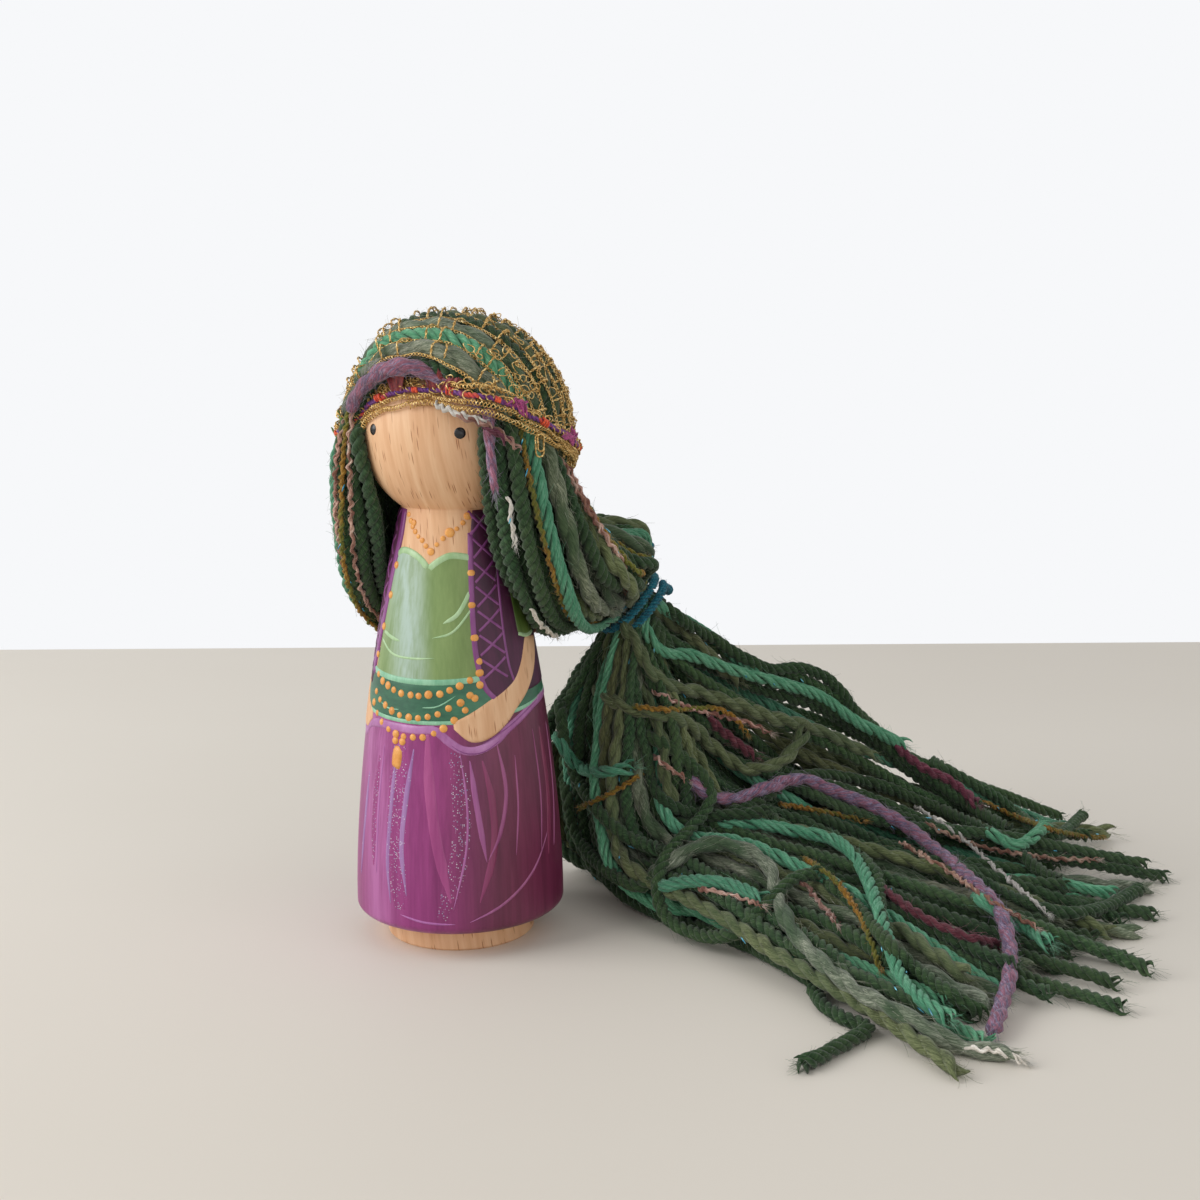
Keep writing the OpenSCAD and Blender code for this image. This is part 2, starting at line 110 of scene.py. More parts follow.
def meshPiece(name, points, faces, material, nodes=(), layers=None):
    mesh = bpy.data.meshes.new(name)
    points = np.asarray(points, np.float32) * mm
    faces = np.asarray(faces, np.int32)
    mesh.vertices.add(len(points))
    mesh.vertices.foreach_set("co", points.ravel())
    mesh.loops.add(faces.size)
    mesh.loops.foreach_set("vertex_index", faces.ravel())
    mesh.polygons.add(len(faces))
    mesh.polygons.foreach_set("loop_start", np.arange(0, faces.size, faces.shape[1], dtype=np.int32))
    mesh.polygons.foreach_set("use_smooth", np.ones(len(faces), bool))
    for key, values in (layers or {}).items():
        values = np.asarray(values, np.float32)
        kind = {1: "FLOAT", 3: "FLOAT_VECTOR", 4: "FLOAT_COLOR"}[1 if values.ndim == 1 else values.shape[1]]
        field = {"FLOAT": "value", "FLOAT_VECTOR": "vector", "FLOAT_COLOR": "color"}[kind]
        mesh.attributes.new(key, kind, "POINT").data.foreach_set(field, values.ravel())
    mesh.update(calc_edges=True)
    mesh.materials.append(material)
    piece = bpy.data.objects.new(name, mesh)
    bpy.context.scene.collection.objects.link(piece)
    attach(piece, "root")
    if nodes:
        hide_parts(*nodes)
    return piece


# Faces of one closed tube, as triangles
def tubeFaces(rings, sides):
    ring = np.arange(rings - 1)[:, None] * sides
    j = np.arange(sides)[None, :]
    a = (ring + j).ravel()
    b = (ring + (j + 1) % sides).ravel()
    walls = np.concatenate([np.stack([a, b, a + sides], 1), np.stack([b, b + sides, a + sides], 1)])
    k = np.arange(1, sides - 1)
    last = (rings - 1) * sides
    ends = [np.stack([0 * k, k + 1, k], 1), np.stack([last + 0 * k, last + k, last + k + 1], 1)]
    return np.concatenate([walls, *ends])


# Directions along a route: forward, and two across that turn as little as possible
def routeFrames(route):
    forward = unit(np.gradient(route, axis=0))
    side = np.zeros_like(route)
    v = np.array([0.0, 0, 1]) if abs(forward[0, 2]) < 0.9 else np.array([1.0, 0, 0])
    for i, f in enumerate(forward):
        v = v - (v @ f) * f
        v = v / max(np.linalg.norm(v), 1e-9)
        side[i] = v
    return forward, side, np.cross(forward, side)


def tubePoints(centre, side, up, radius, sides):
    a = 2 * math.pi * np.arange(sides) / sides
    out = np.cos(a)[None, :, None] * side[:, None, :] + np.sin(a)[None, :, None] * up[:, None, :]
    return (centre[:, None, :] + np.asarray(radius)[:, None, None] * out).reshape(-1, 3)


# Collects many tubes into one mesh
class TubeBatch:
    def __init__(self, sides):
        self.sides = sides
        self.points, self.faces, self.layers, self.count, self.faceCount = [], [], {}, 0, 0

    def add(self, centre, side, up, radius, **values):
        p = tubePoints(centre, side, up, radius, self.sides)
        self.faces.append(tubeFaces(len(centre), self.sides) + self.count)
        self.points.append(p)
        self.count += len(p)
        self.faceCount += len(self.faces[-1])
        for key, value in values.items():
            value = np.asarray(value, float)
            if len(value) == len(centre):
                value = np.repeat(value, self.sides, axis=0)
            self.layers.setdefault(key, []).append(value)

    def thread(self, route, radius, **values):
        side, up = routeFrames(route)[1:]
        radius = np.full(len(route), float(radius)) if np.ndim(radius) == 0 else radius
        self.add(route, side, up, radius, **values)

    def piece(self, name, slotName, material, nodes=()):
        layers = {k: np.concatenate(v) for k, v in self.layers.items()}
        meshPiece(name, np.concatenate(self.points), np.concatenate(self.faces), material, nodes,
                  layers)


# Materials

def shaderGroup(name, inputs, outputs):
    group = bpy.data.node_groups.new(name, "ShaderNodeTree")
    for label, value in inputs.items():
        kind = "NodeSocketVector" if value is None else "NodeSocketFloat"
        socket = group.interface.new_socket(label, in_out="INPUT", socket_type=kind)
        if value is not None:
            socket.default_value = value
    for label, kind in outputs.items():
        group.interface.new_socket(label, in_out="OUTPUT", socket_type="NodeSocket" + kind)
    return group, group.nodes.new("NodeGroupInput").outputs, group.nodes.new("NodeGroupOutput").inputs


# Gives a socket a value, or a link where the value is another node's output
def plug(tree, socket, value):
    if isinstance(value, bpy.types.NodeSocket):
        tree.links.new(value, socket)
    else:
        socket.default_value = value


def addNode(tree, kind, inputs=None, **settings):
    node = tree.nodes.new(kind)
    for key, value in settings.items():
        setattr(node, key, value)
    for key, value in (inputs or {}).items():
        plug(tree, node.inputs[key], value)
    return node


def ramp(tree, factor, stops):
    node = addNode(tree, "ShaderNodeValToRGB", {"Fac": factor})
    elements = node.color_ramp.elements
    while len(elements) < len(stops):
        elements.new(0.5)
    for element, (place, colour) in zip(elements, stops):
        element.position = place
        element.color = colour
    return node.outputs["Color"]


def grey(v):
    return (v, v, v, 1)


def mixColour(tree, factor, a, b, blend="MIX"):
    return addNode(tree, "ShaderNodeMix", {0: factor, 6: a, 7: b}, data_type="RGBA",
                   blend_type=blend).outputs[2]


def maths(tree, operation, a, b):
    return addNode(tree, "ShaderNodeMath", {0: a, 1: b}, operation=operation).outputs[0]


# Where a point lies on the object
def objectPlace(tree):
    return addNode(tree, "ShaderNodeTexCoord").outputs["Object"]


# Places with each direction stretched by its own scale
def stretch(tree, vector, x, y, z):
    scale = addNode(tree, "ShaderNodeCombineXYZ", {0: x, 1: y, 2: z}).outputs[0]
    return addNode(tree, "ShaderNodeVectorMath", {0: vector, 1: scale}, operation="MULTIPLY").outputs[0]


def noise(tree, vector, scale, detail, **more):
    inputs = {"Vector": vector, "Scale": scale, "Detail": detail, **more}
    return addNode(tree, "ShaderNodeTexNoise", inputs).outputs["Fac"]


# Fine fibres that run along a ply: a streak of light and dark, and their height
def makeFibreGroup():
    group, given, made = shaderGroup("fibreStreaks", {"Vector": None, "Scale": 5.0},
                                     {"Streak": "Float", "Height": "Float"})
    fine = noise(group, given["Vector"], given["Scale"], 3.0, Roughness=0.65)
    broad = noise(group, given["Vector"], 1.3, 2.0)
    both = maths(group, "ADD", maths(group, "MULTIPLY", fine, 0.7), maths(group, "MULTIPLY", broad, 0.3))
    plug(group, made["Streak"], both)
    plug(group, made["Height"], fine)
    return group


# Brush marks that run up and down the peg
def makeBrushGroup():
    group, given, made = shaderGroup("brushMarks", {"Across": 900.0, "Along": 60.0},
                                     {"Streak": "Float", "Height": "Float"})
    marks = stretch(group, objectPlace(group), given["Across"], given["Across"], given["Along"])
    broad = noise(group, marks, 0.35, 2.0, Distortion=0.4)
    fine = noise(group, marks, 2.2, 3.0)
    both = maths(group, "ADD", maths(group, "MULTIPLY", broad, 0.65), maths(group, "MULTIPLY", fine, 0.35))
    plug(group, made["Streak"], both)
    plug(group, made["Height"], fine)
    return group


# Flakes of glitter in the paint: where they are, and how each one catches the light
def makeGlitterGroup():
    group, given, made = shaderGroup("glitterFlakes", {"Scale": 3600.0, "Share": 0.25},
                                     {"Flake": "Float", "Tone": "Color", "Tilt": "Float"})
    cells = addNode(group, "ShaderNodeTexVoronoi", {"Vector": objectPlace(group), "Scale": given["Scale"]})
    split = addNode(group, "ShaderNodeSeparateColor", {0: cells.outputs["Color"]}).outputs
    small = ramp(group, cells.outputs["Distance"], [(0.2, grey(1)), (0.5, grey(0))])
    chosen = maths(group, "LESS_THAN", split[0], given["Share"])
    plug(group, made["Flake"], maths(group, "MULTIPLY", small, chosen))
    plug(group, made["Tone"], ramp(group, split[1], [(0.0, srgb(186, 176, 200)), (0.4, srgb(226, 222, 232)),
                                                     (0.8, srgb(120, 150, 190)), (1.0, srgb(214, 150, 196))]))
    plug(group, made["Tilt"], split[2])
    return group


# Beech: pale straight grain with short thin flecks, which are cuts through upright sheets in the wood
def makeBeechGroup():
    group, given, made = shaderGroup("beechGrain", {"Fleck Width": 3300.0, "Fleck Length": 250.0},
                                     {"Colour": "Color", "Height": "Float"})
    turned = addNode(group, "ShaderNodeVectorRotate", {"Vector": objectPlace(group),
                                                       "Rotation": (0, 0.12, -0.2)},
                     rotation_type="EULER_XYZ")
    wood = stretch(group, turned.outputs[0], given["Fleck Width"], given["Fleck Length"],
                   given["Fleck Length"])
    flecks = addNode(group, "ShaderNodeTexVoronoi", {"Vector": wood, "Scale": 1.0})
    split = addNode(group, "ShaderNodeSeparateColor", {0: flecks.outputs["Color"]}).outputs
    some = ramp(group, split[0], [(0.62, grey(0)), (0.8, grey(1))])
    shape = ramp(group, flecks.outputs["Distance"], [(0.2, grey(1)), (0.36, grey(0))])
    fleck = maths(group, "MULTIPLY", maths(group, "MULTIPLY", some, shape), 0.85)
    grain = noise(group, wood, 0.22, 4.0, Roughness=0.6)
    base = ramp(group, grain, [(0.3, srgb(214, 164, 122)), (0.5, srgb(226, 180, 139)),
                               (0.72, srgb(236, 196, 156))])
    plug(group, made["Colour"], mixColour(group, fleck, base, srgb(160, 98, 60)))
    plug(group, made["Height"], maths(group, "SUBTRACT", grain, fleck))
    return group


# How far a point lies to the right as the picture shows the doll, from 0 to 1 between two places
# the paints use it to lay their painted shade and painted highlights across the doll
def makeAcrossGroup():
    group, given, made = shaderGroup("acrossDoll", {"From": -0.01, "To": 0.01}, {"Share": "Float"})
    right = addNode(group, "ShaderNodeVectorMath", {0: objectPlace(group), 1: viewRight},
                    operation="DOT_PRODUCT")
    spread = addNode(group, "ShaderNodeMapRange", {"Value": right.outputs["Value"], "From Min": given["From"],
                                                   "From Max": given["To"]}, interpolation_type="SMOOTHSTEP")
    plug(group, made["Share"], spread.outputs[0])
    return group


groups = {"fibre": makeFibreGroup(), "brush": makeBrushGroup(), "glitter": makeGlitterGroup(),
          "beech": makeBeechGroup(), "across": makeAcrossGroup()}


def newMaterial(name, **settings):
    material = bpy.data.materials.new(name)
    material.use_nodes = True
    shader = material.node_tree.nodes["Principled BSDF"].inputs
    for key, value in settings.items():
        shader[key.replace("_", " ")].default_value = value
    return material, material.node_tree, shader


def useGroup(tree, which, **values):
    return addNode(tree, "ShaderNodeGroup", values, node_tree=groups[which]).outputs


def addBump(tree, shader, height, strength, distance):
    bump = addNode(tree, "ShaderNodeBump", {"Strength": strength, "Distance": distance * mm,
                                            "Height": height})
    plug(tree, shader["Normal"], bump.outputs["Normal"])


def attribute(tree, name, output="Vector"):
    return addNode(tree, "ShaderNodeAttribute", attribute_name=name).outputs[output]


def makeWood(name):
    material, tree, shader = newMaterial(name, Roughness=0.5, Specular_IOR_Level=0.35)
    grain = useGroup(tree, "beech")
    plug(tree, shader["Base Color"], grain["Colour"])
    addBump(tree, shader, grain["Height"], 0.35, 0.06)
    return material


# Acrylic paint in two tones with brush marks. `turn` is two more, darker tones that take over across the doll
# between two places in millimetres: partly the paint's own change of colour, partly painted shade on the side
# away from the window light. `band` is a painted highlight, a paler sheen around one place; glitter is the
# share that holds flakes.
def makePaint(name, dark, light, contrast=0.3, glitter=0.0, across=900.0, along=60.0, roughness=0.38,
              turn=None, band=None):
    material, tree, shader = newMaterial(name, Roughness=roughness, Specular_IOR_Level=0.5)
    marks = useGroup(tree, "brush", Across=across, Along=along)
    low, high = 0.5 - contrast / 2, 0.5 + contrast / 2
    colour = ramp(tree, marks["Streak"], [(low, dark), (high, light)])
    height = marks["Height"]
    # partly the paint's own colour, partly painted shade: darker towards the right as the camera sees the
    # doll
    if turn:
        other = ramp(tree, marks["Streak"], [(low, turn["dark"]), (high, turn["light"])])
        share = useGroup(tree, "across", From=turn["from"] * mm, To=turn["to"] * mm)["Share"]
        colour = mixColour(tree, share, colour, other)
    # painted highlight: a paler brushed sheen in one upright band on the lit side
    if band:
        rising = useGroup(tree, "across", From=band["from"] * mm, To=band["peak"] * mm)["Share"]
        falling = useGroup(tree, "across", From=band["peak"] * mm, To=band["to"] * mm)["Share"]
        brushed = ramp(tree, marks["Streak"], [(0.36, grey(0.35)), (0.56, grey(1.0))])
        inside = maths(tree, "MULTIPLY", maths(tree, "SUBTRACT", rising, falling), brushed)
        colour = mixColour(tree, maths(tree, "MULTIPLY", inside, band["strength"]), colour, band["tone"])
    if glitter:
        flakes = useGroup(tree, "glitter", Share=glitter)
        colour = mixColour(tree, flakes["Flake"], colour, flakes["Tone"])
        plug(tree, shader["Metallic"], maths(tree, "MULTIPLY", flakes["Flake"], 0.7))
        height = maths(tree, "ADD", height, maths(tree, "MULTIPLY", flakes["Flake"], flakes["Tilt"]))
    plug(tree, shader["Base Color"], colour)
    addBump(tree, shader, height, 0.3, 0.05)
    return material


def makeYarnMaterial(name, look):
    material, tree, shader = newMaterial(name, Roughness=0.9, Specular_IOR_Level=0.2, Sheen_Weight=0.2,
                                         Sheen_Roughness=0.5)
    fibre = useGroup(tree, "fibre", Vector=attribute(tree, "fibre"), Scale=look.get("fibreScale", 5.0))
    streak = fibre["Streak"]
    colour = ramp(tree, streak, [(0.32, look["dark"]), (0.5, look["middle"]), (0.7, look["light"])])
    if "second" in look:
        patches = noise(tree, attribute(tree, look.get("patchPlace", "run")), look["patch"], 1.5)
        where = ramp(tree, patches, [(0.43, grey(0)), (0.57, grey(1))])
        other = ramp(tree, streak, [(0.35, look["second"]), (0.65, look["third"])])
        colour = mixColour(tree, where, colour, other)
    colour = mixColour(tree, 1.0, colour, attribute(tree, "shade", "Color"), "MULTIPLY")
    plug(tree, shader["Base Color"], colour)
    addBump(tree, shader, fibre["Height"], 0.7, 0.14)
    return material


# Camera, floor and light

shot = {"place": (138.7, -280.6, 114.9), "forward": (-0.3575, 0.9202, -0.1590), "roll": -0.37,
        "lens": 49.6, "sensor": 36.0, "pixels": 1200}
stage = {"floorBack": 294.0, "floorFront": 900.0, "floorWide": 2600.0, "keyPlace": (-560, -420, 470),
         "keySize": 620.0, "keyPower": 4.6, "fillPlace": (620, -300, 260), "fillSize": 700.0,
         "fillPower": 0.9, "aim": (20, 10, 55), "daylight": 0.52}


def cameraTurn():
    roll = Quaternion((0, 0, 1), math.radians(shot["roll"]))
    return Vector(shot["forward"]).to_track_quat("-Z", "Y") @ roll


def makeCamera():
    data = bpy.data.cameras.new("camera")
    data.lens = shot["lens"]
    data.sensor_width = shot["sensor"]
    data.clip_start, data.clip_end = 10 * mm, 10.0
    camera = bpy.data.objects.new("camera", data)
    camera.location = Vector(shot["place"]) * mm
    camera.rotation_mode = "QUATERNION"
    camera.rotation_quaternion = cameraTurn()
    bpy.context.scene.collection.objects.link(camera)
    bpy.context.scene.camera = camera


def makeFloor():
    away = unit([shot["forward"][0], shot["forward"][1], 0])
    side = np.array([away[1], -away[0], 0])
    wide = stage["floorWide"] / 2
    corners = [side * x + away * y for x, y in ((-wide, -stage["floorFront"]), (wide, -stage["floorFront"]),
                                                (wide, stage["floorBack"]), (-wide, stage["floorBack"]))]
    mesh = bpy.data.meshes.new("floor")
    mesh.from_pydata([tuple(c * mm) for c in corners], [], [(0, 1, 2, 3)])
    material, tree, shader = newMaterial("paleFloor", Roughness=0.6, Specular_IOR_Level=0.2)
    cloudy = addNode(tree, "ShaderNodeTexNoise", {"Scale": 6.0, "Detail": 4.0}).outputs["Fac"]
    plug(tree, shader["Base Color"], ramp(tree, cloudy, [(0.3, srgb(226, 219, 208)),
                                                         (0.7, srgb(232, 226, 216))]))
    mesh.materials.append(material)
    floor = bpy.data.objects.new("floor", mesh)
    bpy.context.scene.collection.objects.link(floor)


def makeLamp(name, place, size, power):
    data = bpy.data.lights.new(name, "AREA")
    data.size = size * mm
    data.energy = power
    lamp = bpy.data.objects.new(name, data)
    lamp.location = Vector(place) * mm
    lamp.rotation_euler = (Vector(stage["aim"]) - Vector(place)).to_track_quat("-Z", "Y").to_euler()
    bpy.context.scene.collection.objects.link(lamp)


def makeDaylight():
    world = bpy.data.worlds.new("daylight")
    bpy.context.scene.world = world
    world.use_nodes = True
    tree = world.node_tree
    path = addNode(tree, "ShaderNodeLightPath").outputs
    seen = maths(tree, "MAXIMUM", path["Is Camera Ray"], path["Is Glossy Ray"])
    seen = maths(tree, "MAXIMUM", seen, path["Is Transmission Ray"])
    background = tree.nodes["Background"].inputs
    plug(tree, background["Color"], mixColour(tree, seen, grey(stage["daylight"]), srgb(247, 248, 250)))
    plug(tree, background["Strength"], 1.0)


makeCamera()
makeFloor()
makeLamp("windowLight", stage["keyPlace"], stage["keySize"], stage["keyPower"])
makeLamp("fillLight", stage["fillPlace"], stage["fillSize"], stage["fillPower"])
makeDaylight()
bpy.context.scene.view_settings.view_transform = "Standard"
print("camera, floor and light")


# Peg: the turned beech, which the frame already holds, and its paint

peg = {"headZ": 97.0, "headR": 16.9, "neckR": 9.8, "skirtR": 20.0, "skirtZ": 8.0, "waistPower": 1.65,
       "rollWidth": 4.6, "rollHeight": 2.4, "footHeight": 4.4, "paint": 0.1, "thinEdge": 0.35}
neckZ = peg["headZ"] - math.sqrt(peg["headR"] ** 2 - peg["neckR"] ** 2)


def bodyRadius(z):
    z = np.asarray(z, float)
    share = np.clip((z - peg["skirtZ"]) / (neckZ - peg["skirtZ"]), 0, 1)
    radius = peg["neckR"] + (peg["skirtR"] - peg["neckR"]) * (1 - share ** peg["waistPower"])
    under = np.clip((peg["footHeight"] + peg["rollHeight"] - z) / peg["rollHeight"], 0, 1)
    return radius - peg["rollWidth"] * (1 - np.sqrt(1 - under ** 2))


# Points on the peg, from angles round it (0 at the face, more to the doll's left) and heights
def onPeg(angle, z, lift):
    a = np.radians(angle)
    r = bodyRadius(z) + lift
    return np.stack([r * np.sin(a), -r * np.cos(a), np.broadcast_to(z, np.shape(a))], -1)


def gridFaces(rows, columns):
    count = rows * columns
    i = np.arange(rows - 1)[:, None] * columns
    j = np.arange(columns - 1)[None, :]
    a = (i + j).ravel()
    top = np.stack([a, a + 1, a + columns + 1, a + columns], 1)
    rim = np.concatenate([np.arange(columns), columns - 1 + columns * np.arange(1, rows),
                          count - 2 - np.arange(columns - 1), columns * np.arange(rows - 2, 0, -1)])
    after = np.roll(rim, -1)
    edge = np.stack([rim, rim + count, after + count, after], 1)
    return np.concatenate([top, top[:, ::-1] + count, edge])


# Faces of a grid that closes on itself round the peg, outer side, inner side and both rims
def ringFaces(rows, columns):
    count = rows * columns
    i = np.arange(rows - 1)[:, None] * columns
    j = np.arange(columns)[None, :]
    after = (j + 1) % columns
    top = np.stack([(i + j).ravel(), (i + after).ravel(), (i + columns + after).ravel(),
                    (i + columns + j).ravel()], 1)
    low, lowAfter = j[0], after[0]
    high, highAfter = lowAfter + count - columns, low + count - columns
    rims = [np.stack([a, a + count, b + count, b], 1) for a, b in ((low, lowAfter), (high, highAfter))]
    return np.concatenate([top, top[:, ::-1] + count] + rims)


# Thin coats of paint, each a grid of angles and heights, joined into one closed mesh piece
def paintPiece(name, coats, material):
    points, faces, start = [], [], 0
    for angles, heights, lift in coats:
        ring = abs(angles[0, -1] - angles[0, 0] - 360) < 0.01
        if ring:
            angles, heights = angles[:, :-1], heights[:, :-1]
        rows, columns = angles.shape
        soft = np.ones((rows, columns))
        soft[0] = soft[-1] = peg["thinEdge"]
        if not ring:
            soft[:, 0] = soft[:, -1] = peg["thinEdge"]
        outer = onPeg(angles, heights, lift * soft).reshape(-1, 3)
        inner = onPeg(angles, heights, -0.05).reshape(-1, 3)
        points.append(np.concatenate([outer, inner]))
        made = ringFaces(rows, columns) if ring else gridFaces(rows, columns)
        faces.append(made[:, ::-1] + start)
        start += 2 * rows * columns
    meshPiece(name, np.concatenate(points), np.concatenate(faces), material)


# A coat between a lower and an upper edge
def coat(lower, upper, lift, columns=40, rows=30):
    low = throughPoints(lower, columns)
    high = throughPoints(upper, columns)
    share = np.linspace(0, 1, rows)[:, None]
    return low[:, 0] * (1 - share) + high[:, 0] * share, low[:, 1] * (1 - share) + high[:, 1] * share, lift


# One brush stroke along points on the peg, full width in the middle
def stroke(points, width, lift, start=1.0, end=1.0):
    mid = np.asarray(points, float)
    rough = np.stack([np.radians(mid[:, 0]) * 15, mid[:, 1]], 1)
    steps = max(6, int(lengthOf(rough) / 0.8))
    line = throughPoints(mid, steps) if len(mid) > 2 else evenly(mid, steps)
    r = bodyRadius(line[:, 1])
    flat = np.stack([np.radians(line[:, 0]) * r, line[:, 1]], 1)
    along = unit(np.gradient(flat, axis=0))
    across = np.stack([-along[:, 1], along[:, 0]], 1)
    t = np.linspace(0, 1, steps)
    widening, narrowing = start + (1 - start) * t * 4, end + (1 - end) * (1 - t) * 4
    half = width / 2 * np.minimum(1, widening) * np.minimum(1, narrowing)
    share = np.linspace(1, -1, 5)[:, None]
    angles = line[:, 0] + np.degrees(share * across[:, 0] * half / r)
    return angles, line[:, 1] + share * across[:, 1] * half, lift


# Raised dots of paint: domes that stand on the peg, from angle, height and size
def dotPiece(name, places, height=0.32):
    rings, sides = 4, 14
    j = np.arange(sides)
    k = (j + 1) % sides
    tris = [np.stack([0 * j, 1 + j, 1 + k], 1)]
    for row in range(rings):
        a, b = 1 + row * sides + j, 1 + row * sides + k
        tris += [np.stack([a, a + sides, b], 1), np.stack([b, a + sides, b + sides], 1)]
    last = 1 + rings * sides
    tris.append(np.stack([last + j, 0 * j + last + sides, last + k], 1))
    tris = np.concatenate(tris)
    spin = 2 * math.pi * np.arange(sides) / sides
    tilt = np.linspace(0, math.pi / 2, rings + 1)[1:]
    points, faces, start = [], [], 0
    for angle, z, size in places:
        centre = onPeg(np.array(angle), np.array(z), 0.05)
        out = unit([math.sin(math.radians(angle)), -math.cos(math.radians(angle)), 0.15])
        side = unit(np.cross([0, 0, 1], out))
        up = np.cross(out, side)
        ring = np.cos(spin)[:, None] * side + np.sin(spin)[:, None] * up
        tall = height * size / 1.3
        dome = [centre + out * tall]
        dome += [centre + out * tall * math.cos(a) + p * size / 2 * math.sin(a) for a in tilt for p in ring]
        dome += [centre - out * 0.15 + p * size / 2 for p in ring] + [centre - out * 0.15]
        points.append(np.array(dome))
        faces.append(tris + start)
        start += len(dome)
    meshPiece(name, np.concatenate(points), np.concatenate(faces), paints["gold"])


wood = makeWood("bareBeech")
# The skirt's tones turn to a darker wine plum towards the right as the camera sees the doll: partly the
# paint's own colour, partly painted shade away from the window light. They serve the skirt and its glitter
# strokes.
skirtTones = {"dark": srgb(128, 38, 104), "light": srgb(162, 64, 134),
              "turn": {"dark": srgb(84, 22, 52), "light": srgb(116, 42, 76), "from": -10.0, "to": 9.0}}
paints = {
    # the skirt's band is a painted highlight: a paler lilac sheen along its lit left edge
    "skirt": makePaint("plumSkirt", skirtTones["dark"], skirtTones["light"], 0.34, along=34.0,
                       turn=skirtTones["turn"], band={"from": -19.0, "peak": -16.0, "to": -10.0,
                                                      "strength": 0.5, "tone": srgb(196, 128, 186)}),
    "sparkle": makePaint("skirtGlitter", skirtTones["dark"], skirtTones["light"], 0.34, glitter=0.3,
                         along=34.0, turn=skirtTones["turn"]),
    # the mauve streaks turn darker towards the right: partly their own colour, partly painted shade
    "streak": makePaint("mauveStreak", srgb(158, 84, 152), srgb(190, 122, 182), 0.3, along=30.0,
                        turn={"dark": srgb(136, 62, 108), "light": srgb(166, 92, 138), "from": -4.0,
                              "to": 10.0}),
    "cool": makePaint("blueStreak", srgb(142, 92, 154), srgb(172, 132, 184), 0.3, glitter=0.12, along=30.0),
    # the pink strokes turn darker towards the right: partly their own colour, partly painted shade
    "blush": makePaint("pinkStroke", srgb(146, 54, 116), srgb(172, 80, 138), 0.3, along=30.0,
                       turn={"dark": srgb(112, 36, 70), "light": srgb(138, 58, 92), "from": -2.0, "to": 9.0}),
    "lilac": makePaint("lilacBand", srgb(158, 92, 150), srgb(190, 130, 184), 0.3, across=500.0, along=300.0),
    # the bodice turns to a darker olive towards the right: partly the paint's own colour, partly painted
    # shade. Its band is a painted highlight: the pale blue-silver sheen of the pearly paint on the lit left
    # side.
    "bodice": makePaint("sageBodice", srgb(112, 138, 80), srgb(136, 160, 100), 0.36, along=80.0,
                        turn={"dark": srgb(98, 122, 58), "light": srgb(122, 144, 78), "from": -4.0,
                              "to": 6.0},
                        band={"from": -14.0, "peak": -8.6, "to": -3.6, "strength": 0.8,
                              "tone": srgb(176, 198, 192)}),
    "paleGreen": makePaint("paleBorder", srgb(150, 186, 134), srgb(184, 212, 168), 0.3),
    "sash": makePaint("greenSash", srgb(34, 84, 62), srgb(60, 116, 86), 0.3, across=300.0, along=700.0),
    "mint": makePaint("mintTrim", srgb(112, 172, 136), srgb(156, 204, 172), 0.3),
    "vest": makePaint("plumWaistcoat", srgb(54, 14, 42), srgb(80, 26, 62), 0.3, roughness=0.55),
    "vestLine": makePaint("purpleLines", srgb(116, 48, 110), srgb(148, 82, 144), 0.3),
    "sleeve": makePaint("greenSleeve", srgb(70, 92, 38), srgb(98, 120, 56), 0.3),
    "gold": makePaint("goldDots", srgb(212, 134, 50), srgb(242, 178, 96), 0.4, across=1500.0, along=1500.0),
    "eye": makePaint("blackEyes", srgb(14, 14, 16), srgb(30, 30, 32), 0.3, roughness=0.25),
}


